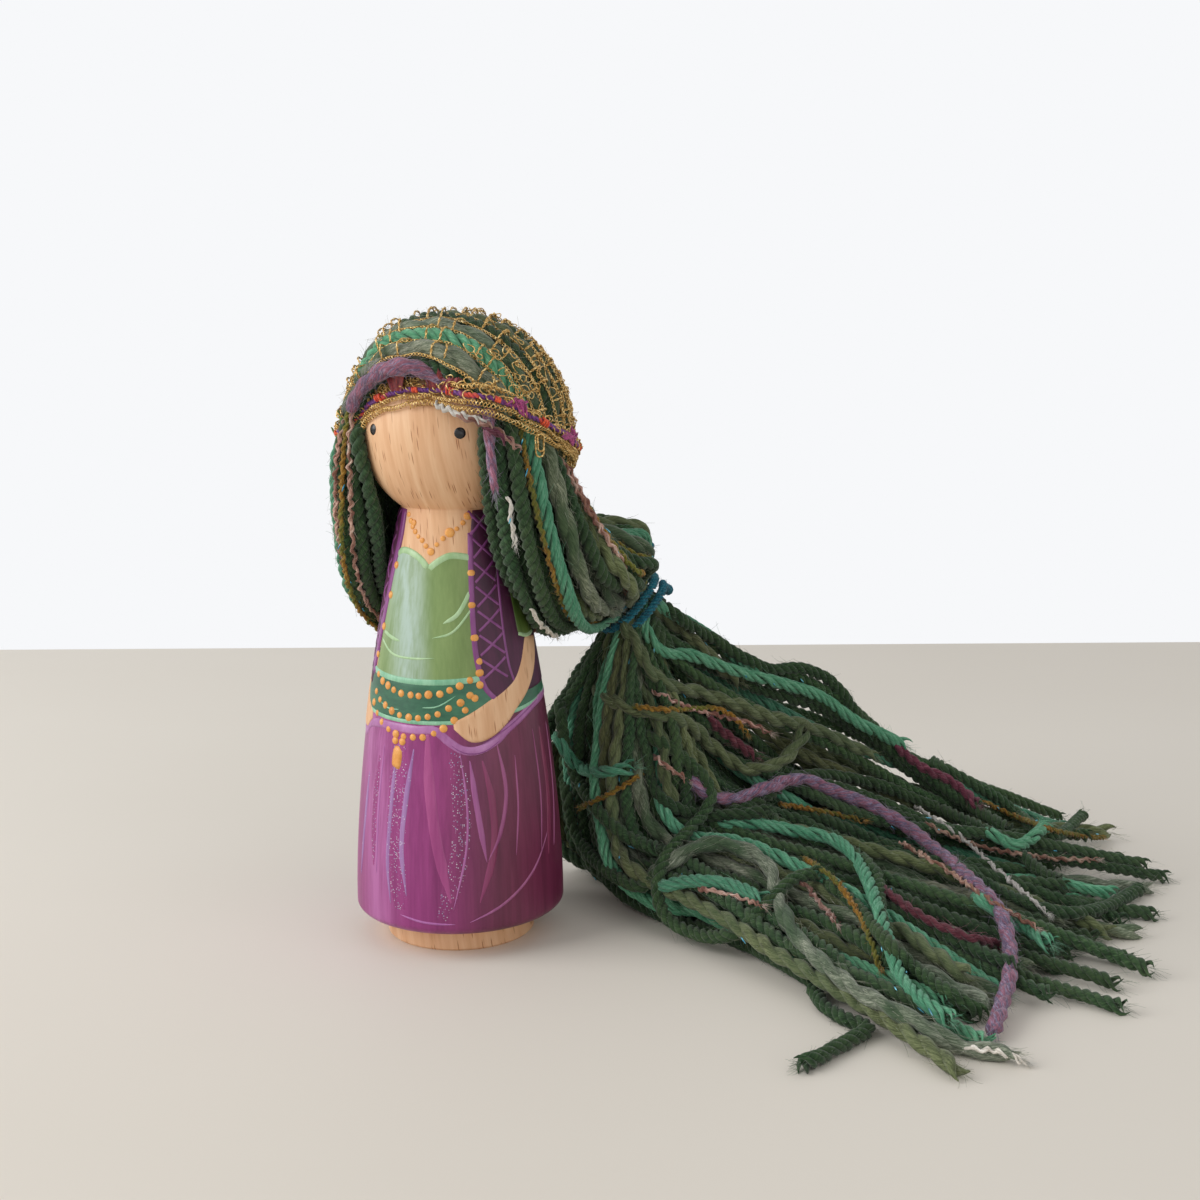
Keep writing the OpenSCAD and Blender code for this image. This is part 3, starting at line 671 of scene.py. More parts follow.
# Strokes of the brush, piece by piece: the paint, how high they stand on the coat of the peg, and for each
# its points as angle and height, its width, and the width left at its two ends as shares
brushwork = {
    "skirtSparkle": ("sparkle", 0.03, [
        ([(-11, 41), (-11, 30), (-11.5, 19), (-8, 9)], 7.4, 0.5, 0.4),
        ([(23, 41), (27.4, 31), (25.6, 20), (14.6, 7)], 5.4, 0.5, 0.3),
        ([(-28, 38), (-30, 28), (-29, 16)], 2.4, 0.2, 0.2),
        ([(120, 42), (124, 28), (118, 12)], 4.0, 0.3, 0.3),
        ([(-120, 42), (-124, 28), (-118, 12)], 4.0, 0.3, 0.3)]),
    "coolStrokes": ("cool", 0.08, [
        ([(-13.4, 40), (-15.4, 29.8), (-17, 18.4), (-14.5, 10)], 1.1, 0.2, 0.1),
        ([(-1, 40), (-5.4, 30), (-7.3, 20.8), (-4, 12)], 1.3, 0.2, 0.1),
        ([(-39, 34), (-41.5, 24), (-45, 13)], 1.2, 0.1, 0.1),
        ([(160, 40), (157, 25), (163, 11)], 1.3, 0.2, 0.1),
        ([(-160, 40), (-157, 25), (-163, 11)], 1.3, 0.2, 0.1)]),
    "blushStrokes": ("blush", 0.06, [
        ([(7.5, 43), (9, 34), (13.4, 23), (21.3, 11)], 2.6, 0.3, 0.15),
        ([(40.3, 38), (45.1, 30), (44.9, 21), (36, 11)], 1.7, 0.2, 0.1),
        ([(88, 42), (90, 30), (84, 17)], 2.0, 0.2, 0.1),
        ([(-66, 41), (-70, 28), (-74, 13)], 2.2, 0.2, 0.1),
        ([(-92, 42), (-98, 28), (-100, 13)], 2.0, 0.2, 0.1),
        ([(138, 42), (142, 27), (138, 12)], 2.0, 0.2, 0.1),
        ([(-138, 42), (-142, 27), (-138, 12)], 2.0, 0.2, 0.1)]),
    "paleStrokes": ("streak", 0.1, [
        ([(32.9, 38), (36.6, 28), (40.7, 18.6)], 1.2, 0.15, 0.1),
        ([(50, 41), (54.1, 32), (49.6, 24.5), (41.4, 19)], 0.9, 0.2, 0.1),
        ([(62, 38), (61.5, 28.5), (58, 19)], 0.45, 0.2, 0.1),
        ([(79.5, 42), (80.9, 30), (77, 18)], 0.45, 0.2, 0.1),
        ([(101, 42), (99, 30), (91, 18)], 0.45, 0.2, 0.1),
        ([(30, 7.6), (50, 10.6), (70, 15.6), (85, 22)], 0.6, 0.1, 0.1),
        ([(-9, 8.6), (6, 7.6), (24, 7.4)], 0.5, 0.1, 0.1),
        ([(27, 40), (30.6, 30), (29.4, 21), (22, 10)], 0.5, 0.1, 0.1),
        ([(-24, 40), (-26, 28), (-26, 15)], 0.5, 0.1, 0.1)]),
    "bodiceCreases": ("paleGreen", 0.08, [
        ([(16, 62.6), (28, 64.4), (39, 68.6)], 0.9, 0.1, 0.9),
        ([(8, 60.0), (24, 61.2), (39.5, 65.4)], 0.5, 0.1, 0.9),
        ([(-40.5, 60.4), (-30, 59.6), (-17, 59.0)], 0.8, 0.9, 0.1),
        ([(-42.5, 59), (-25, 56.6), (-6, 56.2), (12, 56.5)], 0.5, 0.9, 0.1)]),
    "neckBorder": ("paleGreen", 0.07, [
        ([(-38, 74.6), (-28, 75.5), (-16, 75.2), (-5, 74.1), (3, 72.4)], 1.3),
        ([(3, 72.4), (13, 74), (24, 74.9), (43, 74.4)], 1.3)]),
    # the band of the skirt dips under the tucked hand
    "waistBand": ("lilac", 0.12, [
        ([(-180, 46.5), (-120, 46.5), (-90, 45), (-62, 42), (-54, 40.5), (-44, 42.6), (-30, 43.4), (0, 43.3),
          (12, 43.4), (19, 41.8), (28, 39.9), (38, 39.6), (50, 41), (62, 43.4), (90, 46.6), (130, 47.4),
          (180, 46.5)], 1.7)]),
    "bandShades": ("vestLine", 0.18, [
        ([(20, 41.2), (30, 39.3), (42, 39.3), (54, 41.4)], 0.3, 0.1, 0.1),
        ([(40, 40.6), (56, 42.8), (76, 45.6), (92, 47)], 0.3, 0.1, 0.1)]),
    "tasselPaint": ("gold", 0.25, [([(-12.6, 40), (-12.8, 38.4), (-13.4, 35.8)], 2.3, 0.45, 0.75)]),
}


def paintStrokes(*names):
    for name in names:
        paint, rise, rows = brushwork[name]
        strokes = [stroke(points, width, peg["paint"] + rise, *ends) for points, width, *ends in rows]
        paintPiece(name, strokes, paints[paint])


def dressPeg():
    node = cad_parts["peg"]
    node.data.materials.clear()
    node.data.materials.append(wood)
    node.data.polygons.foreach_set("use_smooth", np.ones(len(node.data.polygons), bool))
    lift = peg["paint"]
    # skirt, all the way round, with its rounded hem
    roll = peg["footHeight"] + peg["rollHeight"] * (1 - np.cos(np.radians(np.linspace(8, 90, 12))))
    heights = np.concatenate([roll, np.linspace(peg["skirtZ"], 47, 30)])
    angles, z = np.meshgrid(np.linspace(-180, 180, 145), heights)
    paintPiece("skirtPaint", [(angles, z, lift)], paints["skirt"])
    paintStrokes("skirtSparkle", "coolStrokes", "blushStrokes", "paleStrokes")
    neckline = [(-38, 75), (-28, 75.9), (-17, 75.8), (-6, 74.9), (3, 73.2), (12, 74.2), (24, 75.2),
                (43, 74.8)]
    paintPiece("bodicePaint", [coat([(-46, 52), (0, 50), (46, 53)], neckline, lift, 48, 30)],
               paints["bodice"])
    paintStrokes("bodiceCreases", "neckBorder")
    # sash, with mint borders and short creases
    around = np.linspace(-180, 180, 121)
    dip = 3.2 * np.cos(np.radians(around * 0.8)) * (abs(around) < 112)
    angles, z = np.meshgrid(around, np.linspace(0, 1, 12))
    low, high = 47.5 - dip, 55.5 - dip
    paintPiece("sashPaint", [(angles, low + (high - low) * z, lift + 0.04)], paints["sash"])
    trims = [stroke(np.stack([around, high - 0.3], 1), 1.3, lift + 0.1),
             stroke(np.stack([around, low + 0.4], 1), 0.9, lift + 0.1),
             stroke([(-34, 47.6), (-24, 46.6), (-12, 46.7)], 0.35, lift + 0.1, 0.1, 0.1),
             stroke([(2, 47.4), (14, 47.8), (27, 50)], 0.35, lift + 0.1, 0.1, 0.1)]
    paintPiece("sashTrim", trims, paints["mint"])
    paintStrokes("waistBand", "bandShades")
    # waistcoat: open at the front, whole at the back
    inner = [(47, 83), (43, 79), (41, 73), (39.8, 66), (39.8, 59.5), (41.3, 55), (45, 51), (52, 48.6)]
    other = [(-36.3, 83), (-34.6, 78), (-38.4, 72.6), (-41.6, 66), (-44.6, 60), (-48, 55), (-50, 51.5),
             (-52, 49.5)]
    back = [83, 79, 73, 66, 59.5, 55, 52, 50]
    halves = [coat(inner, [(180, z) for z in back], lift + 0.12, 40, 70),
              coat([(-180, z) for z in back], other, lift + 0.12, 40, 70)]
    paintPiece("waistcoatPaint", halves, paints["vest"])
    lines = [stroke(inner[1:], 1.2, lift + 0.17),
             stroke([(a - 2.5, z) for a, z in other[:-1]], 1.9, lift + 0.17),
             stroke([(70, 80), (65, 70), (63.5, 62), (64.5, 55), (68, 51)], 0.8, lift + 0.17),
             stroke([(-66, 80), (-66, 70), (-67, 62), (-68, 55), (-70, 51)], 0.8, lift + 0.17)]
    crossings = {"low": 52.0, "high": 80.0, "step": 4.4, "rise": 4.4, "width": 0.7}
    z = crossings["low"]
    while z < crossings["high"]:
        for a, b in ((41.5, 64.5), (64.5, 41.5), (-45, -67), (-67, -45)):
            lines.append(stroke([(a, z), (b, z + crossings["rise"])], crossings["width"], lift + 0.18))
        z += crossings["step"]
    paintPiece("waistcoatLines", lines, paints["vestLine"])
    # short sleeves, bare arms and the hands tucked into the band
    for side, label in ((1, "left"), (-1, "right")):
        low = [(side * a, z) for a, z in ((77, 59.5), (90, 58.6), (106, 59))]
        high = [(side * a, z) for a, z in ((74, 73), (88, 76), (104, 73))]
        order = (low, high) if side > 0 else (low[::-1], high[::-1])
        hem = [(side * a, z) for a, z in ((77, 59.9), (90, 59), (106, 59.4))]
        paintPiece(label + "Sleeve", [coat(*order, lift + 0.2, 16, 16)], paints["sleeve"])
        paintPiece(label + "SleeveHem", [stroke(hem, 0.9, lift + 0.26)], paints["paleGreen"])
    arms = {"left": ([(86, 59.2), (81, 57), (76, 54.6), (68, 51.8), (58, 50), (48, 48.6), (38, 47),
                      (30, 45.8), (23.5, 45)],
                     [(107, 58.8), (101, 55.4), (92, 52.2), (80, 49), (68, 46.4), (58, 43.8), (46, 41.6),
                      (34, 41.2), (24, 43.6)]),
            "right": ([(-107, 58.8), (-98, 54.6), (-89, 51), (-80, 47.6), (-70, 44.2), (-60, 42), (-50, 41.6),
                       (-42, 43.6)],
                      [(-86, 59.2), (-80, 56), (-73, 52.6), (-66, 50), (-60, 48.4), (-54, 47), (-48, 46),
                       (-42, 45.2)])}
    for label, edges in arms.items():
        paintPiece(label + "Arm", [coat(*edges, lift + 0.24, 40, 14)], wood)


# Coins and beads: rows of dots that hang in curves across the front
def hungRow(dice, start, end, sag, count, size):
    t = np.linspace(0, 1, count)
    angles = start[0] + (end[0] - start[0]) * t + dice.uniform(-0.5, 0.5, count)
    heights = start[1] + (end[1] - start[1]) * t - sag * 4 * t * (1 - t) + dice.uniform(-0.15, 0.15, count)
    return [(a, z, size * s) for a, z, s in zip(angles, heights, dice.uniform(0.85, 1.12, count))]


def addPaintDots():
    dice = np.random.default_rng(11)
    rows = hungRow(dice, (-39.5, 52.2), (41.8, 53.6), 3.4, 13, 1.5)
    rows += hungRow(dice, (-40, 49), (41.5, 51.4), 4.6, 13, 1.45)
    rows += hungRow(dice, (-42, 46.6), (38, 49), 6.0, 13, 1.45)
    dotPiece("coinRows", rows + [(-15, 40.9, 1.5), (-9.5, 40.9, 1.5)])
    paintStrokes("tasselPaint")
    beads = hungRow(dice, (-28, 82), (3.5, 76), 0.3, 8, 0.95)
    beads += hungRow(dice, (10, 77), (42, 81.8), 0.0, 6, 0.95)
    dotPiece("necklaceBeads", beads + [(22.5, 79.1, 1.8), (-18.5, 80.6, 1.3), (4.5, 75.6, 1.4),
                                       (41, 82, 1.4)], 0.2)
    dotPiece("waistcoatButtons", [(40.6, 71.7, 1.5), (39.4, 65.9, 1.5), (39.9, 60, 1.6), (42, 55.7, 1.5),
                                  (-35.6, 72.6, 1.5), (-37.8, 67, 1.5), (-42, 61, 1.5), (-46.7, 55.6, 1.4)],
             0.3)


# Two painted eyes on the head ball
def addEyes():
    eyes = {"angles": (31.3, -31.3), "heights": (97.6, 98.0), "size": 2.3, "bulge": 0.3}
    batch = TubeBatch(20)
    for angle, height in zip(eyes["angles"], eyes["heights"]):
        a = math.radians(angle)
        rise = math.asin((height - peg["headZ"]) / peg["headR"])
        out = np.array([math.sin(a) * math.cos(rise), -math.cos(a) * math.cos(rise), math.sin(rise)])
        t = np.linspace(0, math.pi / 2, 6)
        depth = peg["headR"] - 0.25 + (0.2 + eyes["bulge"]) * np.sin(t)
        centre = np.array([0, 0, peg["headZ"]]) + depth[:, None] * out
        across = unit(np.cross([0, 0, 1.0], out))
        up = np.cross(out, across)
        batch.add(centre, np.tile(across, (6, 1)), np.tile(up, (6, 1)), eyes["size"] / 2 * np.cos(t * 0.98))
    batch.piece("eyes", "painted_beech", paints["eye"])


dressPeg()
addPaintDots()
addEyes()
print("peg and paint")


# Yarns. width is the diameter of the strand, pitch the length of one turn of its plies, core how much of
# the strand's radius one ply takes, wrap the turns of its fibres per millimetre, crinkle its small waves,
# fuzz the loose fibres per millimetre of strand.
yarns = {
    "green": {"plies": 3, "core": 0.56, "width": 3.0, "pitch": 5.6, "wrap": 0.25, "fuzz": 3.0,
              "slot": "green_yarn", "dark": srgb(18, 32, 18), "middle": srgb(44, 70, 42),
              "light": srgb(86, 114, 76), "second": srgb(34, 56, 36), "third": srgb(70, 92, 58),
              "patch": 0.05},
    "mint": {"plies": 5, "core": 0.4, "width": 2.9, "pitch": 10.5, "wrap": 0.1, "fuzz": 1.6,
             "slot": "mint_yarn", "fibreScale": 6.0, "dark": srgb(52, 112, 84), "middle": srgb(86, 150, 116),
             "light": srgb(136, 190, 158)},
    "olive": {"plies": 2, "core": 0.62, "width": 3.4, "pitch": 10.5, "wrap": 0.08, "fuzz": 2.6,
              "slot": "olive_yarn", "dark": srgb(48, 52, 32), "middle": srgb(94, 102, 68),
              "light": srgb(138, 142, 104), "second": srgb(56, 72, 44), "third": srgb(108, 116, 82),
              "patch": 0.05},
    "grey": {"plies": 2, "core": 0.68, "width": 3.5, "pitch": 15.0, "wrap": 0.06, "fuzz": 5.0,
             "slot": "grey_yarn", "dark": srgb(58, 64, 50), "middle": srgb(108, 116, 96),
             "light": srgb(184, 184, 164), "second": srgb(44, 62, 42), "third": srgb(88, 106, 78),
             "patch": 0.07},
    "mauve": {"plies": 2, "core": 0.76, "width": 3.1, "pitch": 9.0, "wrap": 0.1, "fuzz": 6.0,
              "slot": "mauve_yarn", "fibreScale": 7.0, "dark": srgb(58, 46, 64), "middle": srgb(106, 90, 116),
              "light": srgb(186, 172, 196), "second": srgb(86, 48, 62), "third": srgb(176, 120, 142),
              "patch": 2.2, "patchPlace": "fibre"},
    "wine": {"plies": 2, "core": 0.6, "width": 2.2, "pitch": 6.0, "wrap": 0.2, "fuzz": 3.0,
             "slot": "mauve_yarn", "dark": srgb(56, 22, 34), "middle": srgb(98, 46, 60),
             "light": srgb(150, 92, 104)},
    "pink": {"plies": 2, "core": 0.58, "width": 1.0, "pitch": 3.4, "wrap": 0.2, "crinkle": 0.24, "fuzz": 1.6,
             "slot": "mauve_yarn", "dark": srgb(128, 84, 74), "middle": srgb(180, 140, 126),
             "light": srgb(232, 216, 204), "second": srgb(98, 60, 54), "third": srgb(150, 108, 92),
             "patch": 0.12},
    "pale": {"plies": 2, "core": 0.58, "width": 0.9, "pitch": 3.6, "wrap": 0.2, "crinkle": 0.22, "fuzz": 2.4,
             "slot": "grey_yarn", "dark": srgb(150, 146, 138), "middle": srgb(206, 202, 192),
             "light": srgb(240, 238, 232)},
    "amber": {"plies": 2, "core": 0.58, "width": 1.2, "pitch": 2.6, "wrap": 0.3, "crinkle": 0.15, "fuzz": 2.0,
              "slot": "olive_yarn", "dark": srgb(80, 56, 16), "middle": srgb(136, 98, 34),
              "light": srgb(190, 148, 66), "second": srgb(74, 76, 26), "third": srgb(126, 124, 52),
              "patch": 0.09},
    "teal": {"plies": 3, "core": 0.5, "width": 1.8, "pitch": 2.6, "wrap": 0.3, "fuzz": 3.0,
             "slot": "teal_yarn", "fibreScale": 8.0, "dark": srgb(8, 56, 72), "middle": srgb(20, 104, 128),
             "light": srgb(74, 160, 176)},
}
for kind, look in yarns.items():
    look["material"] = makeYarnMaterial(kind + "Yarn", look)

wig = {"rows": 14, "underLayer": 2.7, "yarn": 3.0, "tied": 1.6, "firstRow": 36.0, "rowStep": 10.6,
       "firstExit": 44.0, "exitStep": 9.9, "exitBulge": 6.0, "hemTilt": 32.0, "hemDrop": 3.3,
       "boundFrom": 10.0, "boundOver": 9.0, "boundShare": 0.38,
       "order": ["mauve", "grey", "mint", "grey", "green", "olive", "green", "green", "grey", "green", "mint",
                 "green", "olive", "green"]}
crownR = peg["headR"] + wig["underLayer"] + wig["yarn"] / 2
headCentre = np.array([0, 0, peg["headZ"]])
tilt = math.radians(wig["hemTilt"])
hemNormal = np.array([0, math.sin(tilt), math.cos(tilt)])
hemFront = np.array([0, -math.cos(tilt), math.sin(tilt)])


# How far a place is bound, from 0 to 1: the scarf holds the strands closer at the doll's right
def boundAt(away):
    return ease((-(away @ viewRight) - wig["boundFrom"]) / wig["boundOver"])


# The scarf binds the strands closer to the head at the doll's right
def hug(points):
    away = points - headCentre
    r = np.linalg.norm(away, axis=-1)
    near = peg["headR"] + (r - peg["headR"]) * (1 - wig["boundShare"] * boundAt(away))
    return headCentre + away * (near / r)[..., None]


# A point of the scarf's hem, from the angle round it and the distance from the middle of the head
def hemPoint(angle, r):
    a = np.radians(angle)
    flat = np.sqrt(r * r - wig["hemDrop"] ** 2)
    way = np.cos(a)[..., None] * hemFront + np.sin(a)[..., None] * np.array([1.0, 0, 0])
    return np.asarray(flat)[..., None] * way - wig["hemDrop"] * hemNormal


# The circle that a row follows over the head, between its two ends at the hem
def rowCircle(k, r):
    top = math.radians(wig["firstRow"] + wig["rowStep"] * k)
    bulge = wig["exitBulge"] * math.sin(math.pi * k / (wig["rows"] - 1))
    leaves = wig["firstExit"] + wig["exitStep"] * k + bulge
    peak = r * np.array([0, -math.cos(top), math.sin(top)])
    gap = hemPoint(np.array(leaves), np.array(r)) - peak
    lean = math.atan2(-gap[2], gap[1])
    normal = np.array([0, math.sin(lean), math.cos(lean)])
    front = np.array([0, -math.cos(lean), math.sin(lean)])
    offset = normal @ peak
    end = hemPoint(np.array(leaves), np.array(r)) - normal * offset
    turn = math.degrees(math.atan2(end[0], end @ front))
    return normal, front, offset, math.sqrt(r * r - offset * offset), turn


def rowRoute(k, r, first, last, count):
    normal, front, offset, radius = rowCircle(k, r)[:4]
    a = np.radians(np.linspace(first, last, count))
    way = np.cos(a)[:, None] * front + np.sin(a)[:, None] * np.array([1.0, 0, 0])
    return hug(headCentre + offset * normal + radius * way)


tie = {"place": np.array([21.0, 38, 60]), "heading": 32.0, "dip": 40.0, "rings": (3.5, 2.45, 1.05),
       "turns": (0, 1, 0, 1, 2), "first": -60.0, "span": 155.0, "gap": 20.0}
dip = math.radians(tie["dip"])
tieAxis = heading(tie["heading"]) * math.cos(dip) - np.array([0, 0, math.sin(dip)])
tieSide = np.array([math.sin(math.radians(tie["heading"])), -math.cos(math.radians(tie["heading"])), 0])
tieUp = np.cross(tieSide, tieAxis)


# Place of a strand in the bundle; k may lie between two rows
def slotPlace(k, side, inward=1.0):
    share = k / (wig["rows"] - 1)
    a = tie["first"] + (tie["span"] * share if side > 0 else -tie["gap"] - tie["span"] * share)
    r = tie["rings"][tie["turns"][int(k) % 5]] * wig["tied"] * inward
    return r * math.cos(math.radians(a)), r * math.sin(math.radians(a))


def slotOffset(place):
    return place[0] * tieSide + place[1] * tieUp


hang = {"left": {"drops": (14.25, 5), "flare": 2.3, "pulls": ((-1.5, -10, -2), (1, -0.75, 7.5)),
                 "puff": (4, -0.5, 1.8)},
        "right": {"drops": (16.5, 4.75), "flare": 2.4, "pulls": ((-17.25, -6.5, -0.75), (-5.5, -5, 1.75)),
                  "puff": (0.6, -0.6, 0.1)},
        "bow": 3.3, "lean": 2.6, "pull": 1.4, "mouthStep": 2.0, "mouth": 2.2}


# Yarn of each strand at the sides, from the brow to the nape, then thin ones that lie outside them
hangKinds = {
    "left": ["mauve", "green", "mint", "grey", "green", "olive", "green", "green", "grey", "green", "mint",
             "green", "olive", "green"],
    "right": ["pink", "green", "mint", "grey", "mint", "olive", "green", "green", "grey", "green", "mint",
              "green", "olive", "green"],
    "leftThin": [(0.4, "pale"), (1.4, "amber"), (4.6, "pink"), (4.9, "pink"), (5.6, "amber"), (7.5, "amber"),
                 (9.4, "pink")],
    "rightThin": [(0.3, "amber"), (0.8, "pink"), (1.3, "pink"), (4.4, "pink"), (6.5, "amber")],
}


# A strand from the hem down the side of the head and back into the tie
def sideRoute(k, side, count, r, inward, place):
    shape = hang["left" if side > 0 else "right"]
    share = k / (wig["rows"] - 1)
    bow = math.sin(math.pi * share)
    end = rowCircle(k, r)[4]
    leaves = rowRoute(k, r, side * end, side * end, 1)[0]
    out = unit(leaves * [1, 1, 0])
    drop = shape["drops"][0] + (shape["drops"][1] - shape["drops"][0]) * share
    flare = shape["flare"] + hang["bow"] * bow - inward
    w = wig["yarn"]
    belly = leaves + w * (flare * out + np.array([0, hang["lean"] * share, -drop]))
    a, b = np.array(shape["pulls"][0], float), np.array(shape["pulls"][1], float)
    puffed = a + (b - a) * share + bow * np.array(shape["puff"])
    pull = tie["place"] + w * puffed + hang["pull"] * slotOffset(place)
    mouth = tie["place"] - hang["mouthStep"] * w * tieAxis + hang["mouth"] * slotOffset(place)
    return bezier([leaves, belly, pull, mouth, tie["place"] + slotOffset(place)], np.linspace(0, 1, count))


fan = {"length": 108.0, "first": -42.0, "last": 40.0, "more": 44, "slim": 0.89, "nearFall": 7.1,
       "farFall": 1.0, "mixPower": 1.25, "nearLead": -110.0, "leads": (0.16, 0.06), "bends": (0.36, 0.53),
       "stackPower": 3.0, "loosen": 0.7}


# A strand of the tail, from its place in the tie to the table; share is 0 at the near side
def tailRoute(place, share, reach, count, dice, wander):
    t = np.linspace(0, 1, count) ** 1.2
    start = tie["place"] + slotOffset(place)
    low = tie["rings"][0] * wig["tied"] * math.cos(dip)
    above = place[1] * math.cos(dip) + low
    fall = fan["nearFall"] + (fan["farFall"] - fan["nearFall"]) * share ** fan["mixPower"]
    way = heading(fan["first"] + (fan["last"] - fan["first"]) * share)
    lead = fan["length"] * (fan["leads"][0] + (fan["leads"][1] - fan["leads"][0]) * share)
    bend = reach * (fan["bends"][0] + (fan["bends"][1] - fan["bends"][0]) * share)
    flatStart, flatTie = start * [1, 1, 0], tie["place"] * [1, 1, 0]
    first = heading(fan["nearLead"] + (tie["heading"] - fan["nearLead"]) * share)
    plan = bezier([flatStart, flatStart + lead * first, flatTie + bend * way, flatTie + reach * way], t)
    r = wig["yarn"] / 2
    stack = above * (1 + 0.88 * ease(t / fan["loosen"])) * (1 - t ** fan["stackPower"])
    height = r + (start[2] - above - r) * (1 - t) ** fall + stack
    across = np.array([-way[1], way[0], 0])
    plan = plan + (wander * ease(t / 0.5) * drift(dice, count, 5))[:, None] * across
    plan[:, 2] = height + wander * 0.5 * ease(t / 0.5) * (1 + drift(dice, count, 6))
    return evenly(plan, count)


# Lets strands push each other apart, off the peg and up from the table, and sink a little.
# Each strand is an equal row of points; the pinned ones stay.
def settle(routes, radii, pinned, rounds, sink, keep):
    rules = {"search": 6, "slack": 0.6, "push": 0.45, "pull": 0.4, "table": 0.92, "fromPeg": 0.3,
             "fromHead": 0.2}
    strands, count = routes.shape[:2]
    p = routes.reshape(-1, 3).copy()
    r = radii.reshape(-1)
    hold = pinned.reshape(-1)
    strand = np.repeat(np.arange(strands), count)
    spacing = np.linalg.norm(np.diff(routes, axis=1), axis=2)
    bend = np.zeros_like(routes)
    bend[:, 1:-1] = routes[:, 1:-1] - (routes[:, :-2] + routes[:, 2:]) / 2
    for turn in range(rounds):
        if turn % rules["search"] == 0:
            tree = kdtree.KDTree(len(p))
            for i, q in enumerate(p):
                tree.insert(q, i)
            tree.balance()
            reach = 2 * r.max() + rules["slack"]
            pairs = [(i, j) for i, q in enumerate(p) for _, j, _ in tree.find_range(q, reach)
                     if j > i and (strand[j] != strand[i] or j - i > 4)]
            a, b = np.array(pairs, int).reshape(-1, 2).T
        gap = p[a] - p[b]
        far = np.linalg.norm(gap, axis=1)
        short = np.maximum(0, r[a] + r[b] - far)
        push = gap / np.maximum(far, 1e-6)[:, None] * (rules["push"] * short)[:, None]
        move = np.zeros_like(p)
        near = np.zeros(len(p))
        np.add.at(move, a, push)
        np.add.at(move, b, -push)
        np.add.at(near, a, short > 0)
        np.add.at(near, b, short > 0)
        p += np.where(hold, 0, 1)[:, None] * move / np.maximum(1, near * 0.5)[:, None]
        q = p.reshape(strands, count, 3)
        inner = q[:, 1:-1]
        inner += keep * ((q[:, :-2] + q[:, 2:]) / 2 + bend[:, 1:-1] - inner) * ~pinned[:, 1:-1, None]
        q[..., 2] -= sink * ~pinned
        steps = np.diff(q, axis=1)
        far = np.linalg.norm(steps, axis=2)
        pull = steps * ((far - spacing) / np.maximum(far, 1e-6) * rules["pull"])[..., None]
        q[:, :-1] += pull * ~pinned[:, :-1, None]
        q[:, 1:] -= pull * ~pinned[:, 1:, None]
        p = q.reshape(-1, 3)
        p[:, 2] = np.maximum(p[:, 2], r * rules["table"])
        flat = np.linalg.norm(p[:, :2], axis=1)
        wall = np.where(p[:, 2] < neckZ, bodyRadius(p[:, 2]) + r + rules["fromPeg"], 0)
        outward = p[:, :2] / np.maximum(flat, 1e-6)[:, None]
        p[:, :2] += outward * (np.maximum(0, wall - flat) * ~hold)[:, None]
        ball = p - headCentre
        far = np.linalg.norm(ball, axis=1)
        within = np.maximum(0, peg["headR"] + r + rules["fromHead"] - far) * ~hold
        p += ball / far[:, None] * within[:, None]
    return p.reshape(strands, count, 3)


manyFaces = 150000   # a piece that reaches this goes on in another one
pieceLetters = "ABCDEFGHIJ"


# A strand is its route, its radius along the route, and its yarn
def strandOf(route, radius, kind, frayed=False):
    radius = np.full(len(route), float(radius)) if np.ndim(radius) == 0 else radius
    return {"route": route, "radius": radius, "kind": kind, "frayed": frayed}


def radiusAlong(strand, count):
    own = strand["radius"]
    return np.interp(np.linspace(0, 1, count), np.linspace(0, 1, len(own)), own)


# Twists the plies of each strand and makes the mesh pieces, a new one when one grows too big
def yarnPieces(name, strands, nodes, seed):
    batches = []
    for number, strand in enumerate(strands):
        look = yarns[strand["kind"]]
        if not batches or batches[-1].faceCount > manyFaces:
            batches.append(TubeBatch(7))
        twistStrand(batches[-1], strand, look, np.random.default_rng(seed * 100 + number))
    for part, batch in enumerate(batches):
        label = name if len(batches) == 1 else name + pieceLetters[part]
        batch.piece(label, look["slot"], look["material"], nodes if part == 0 else ())


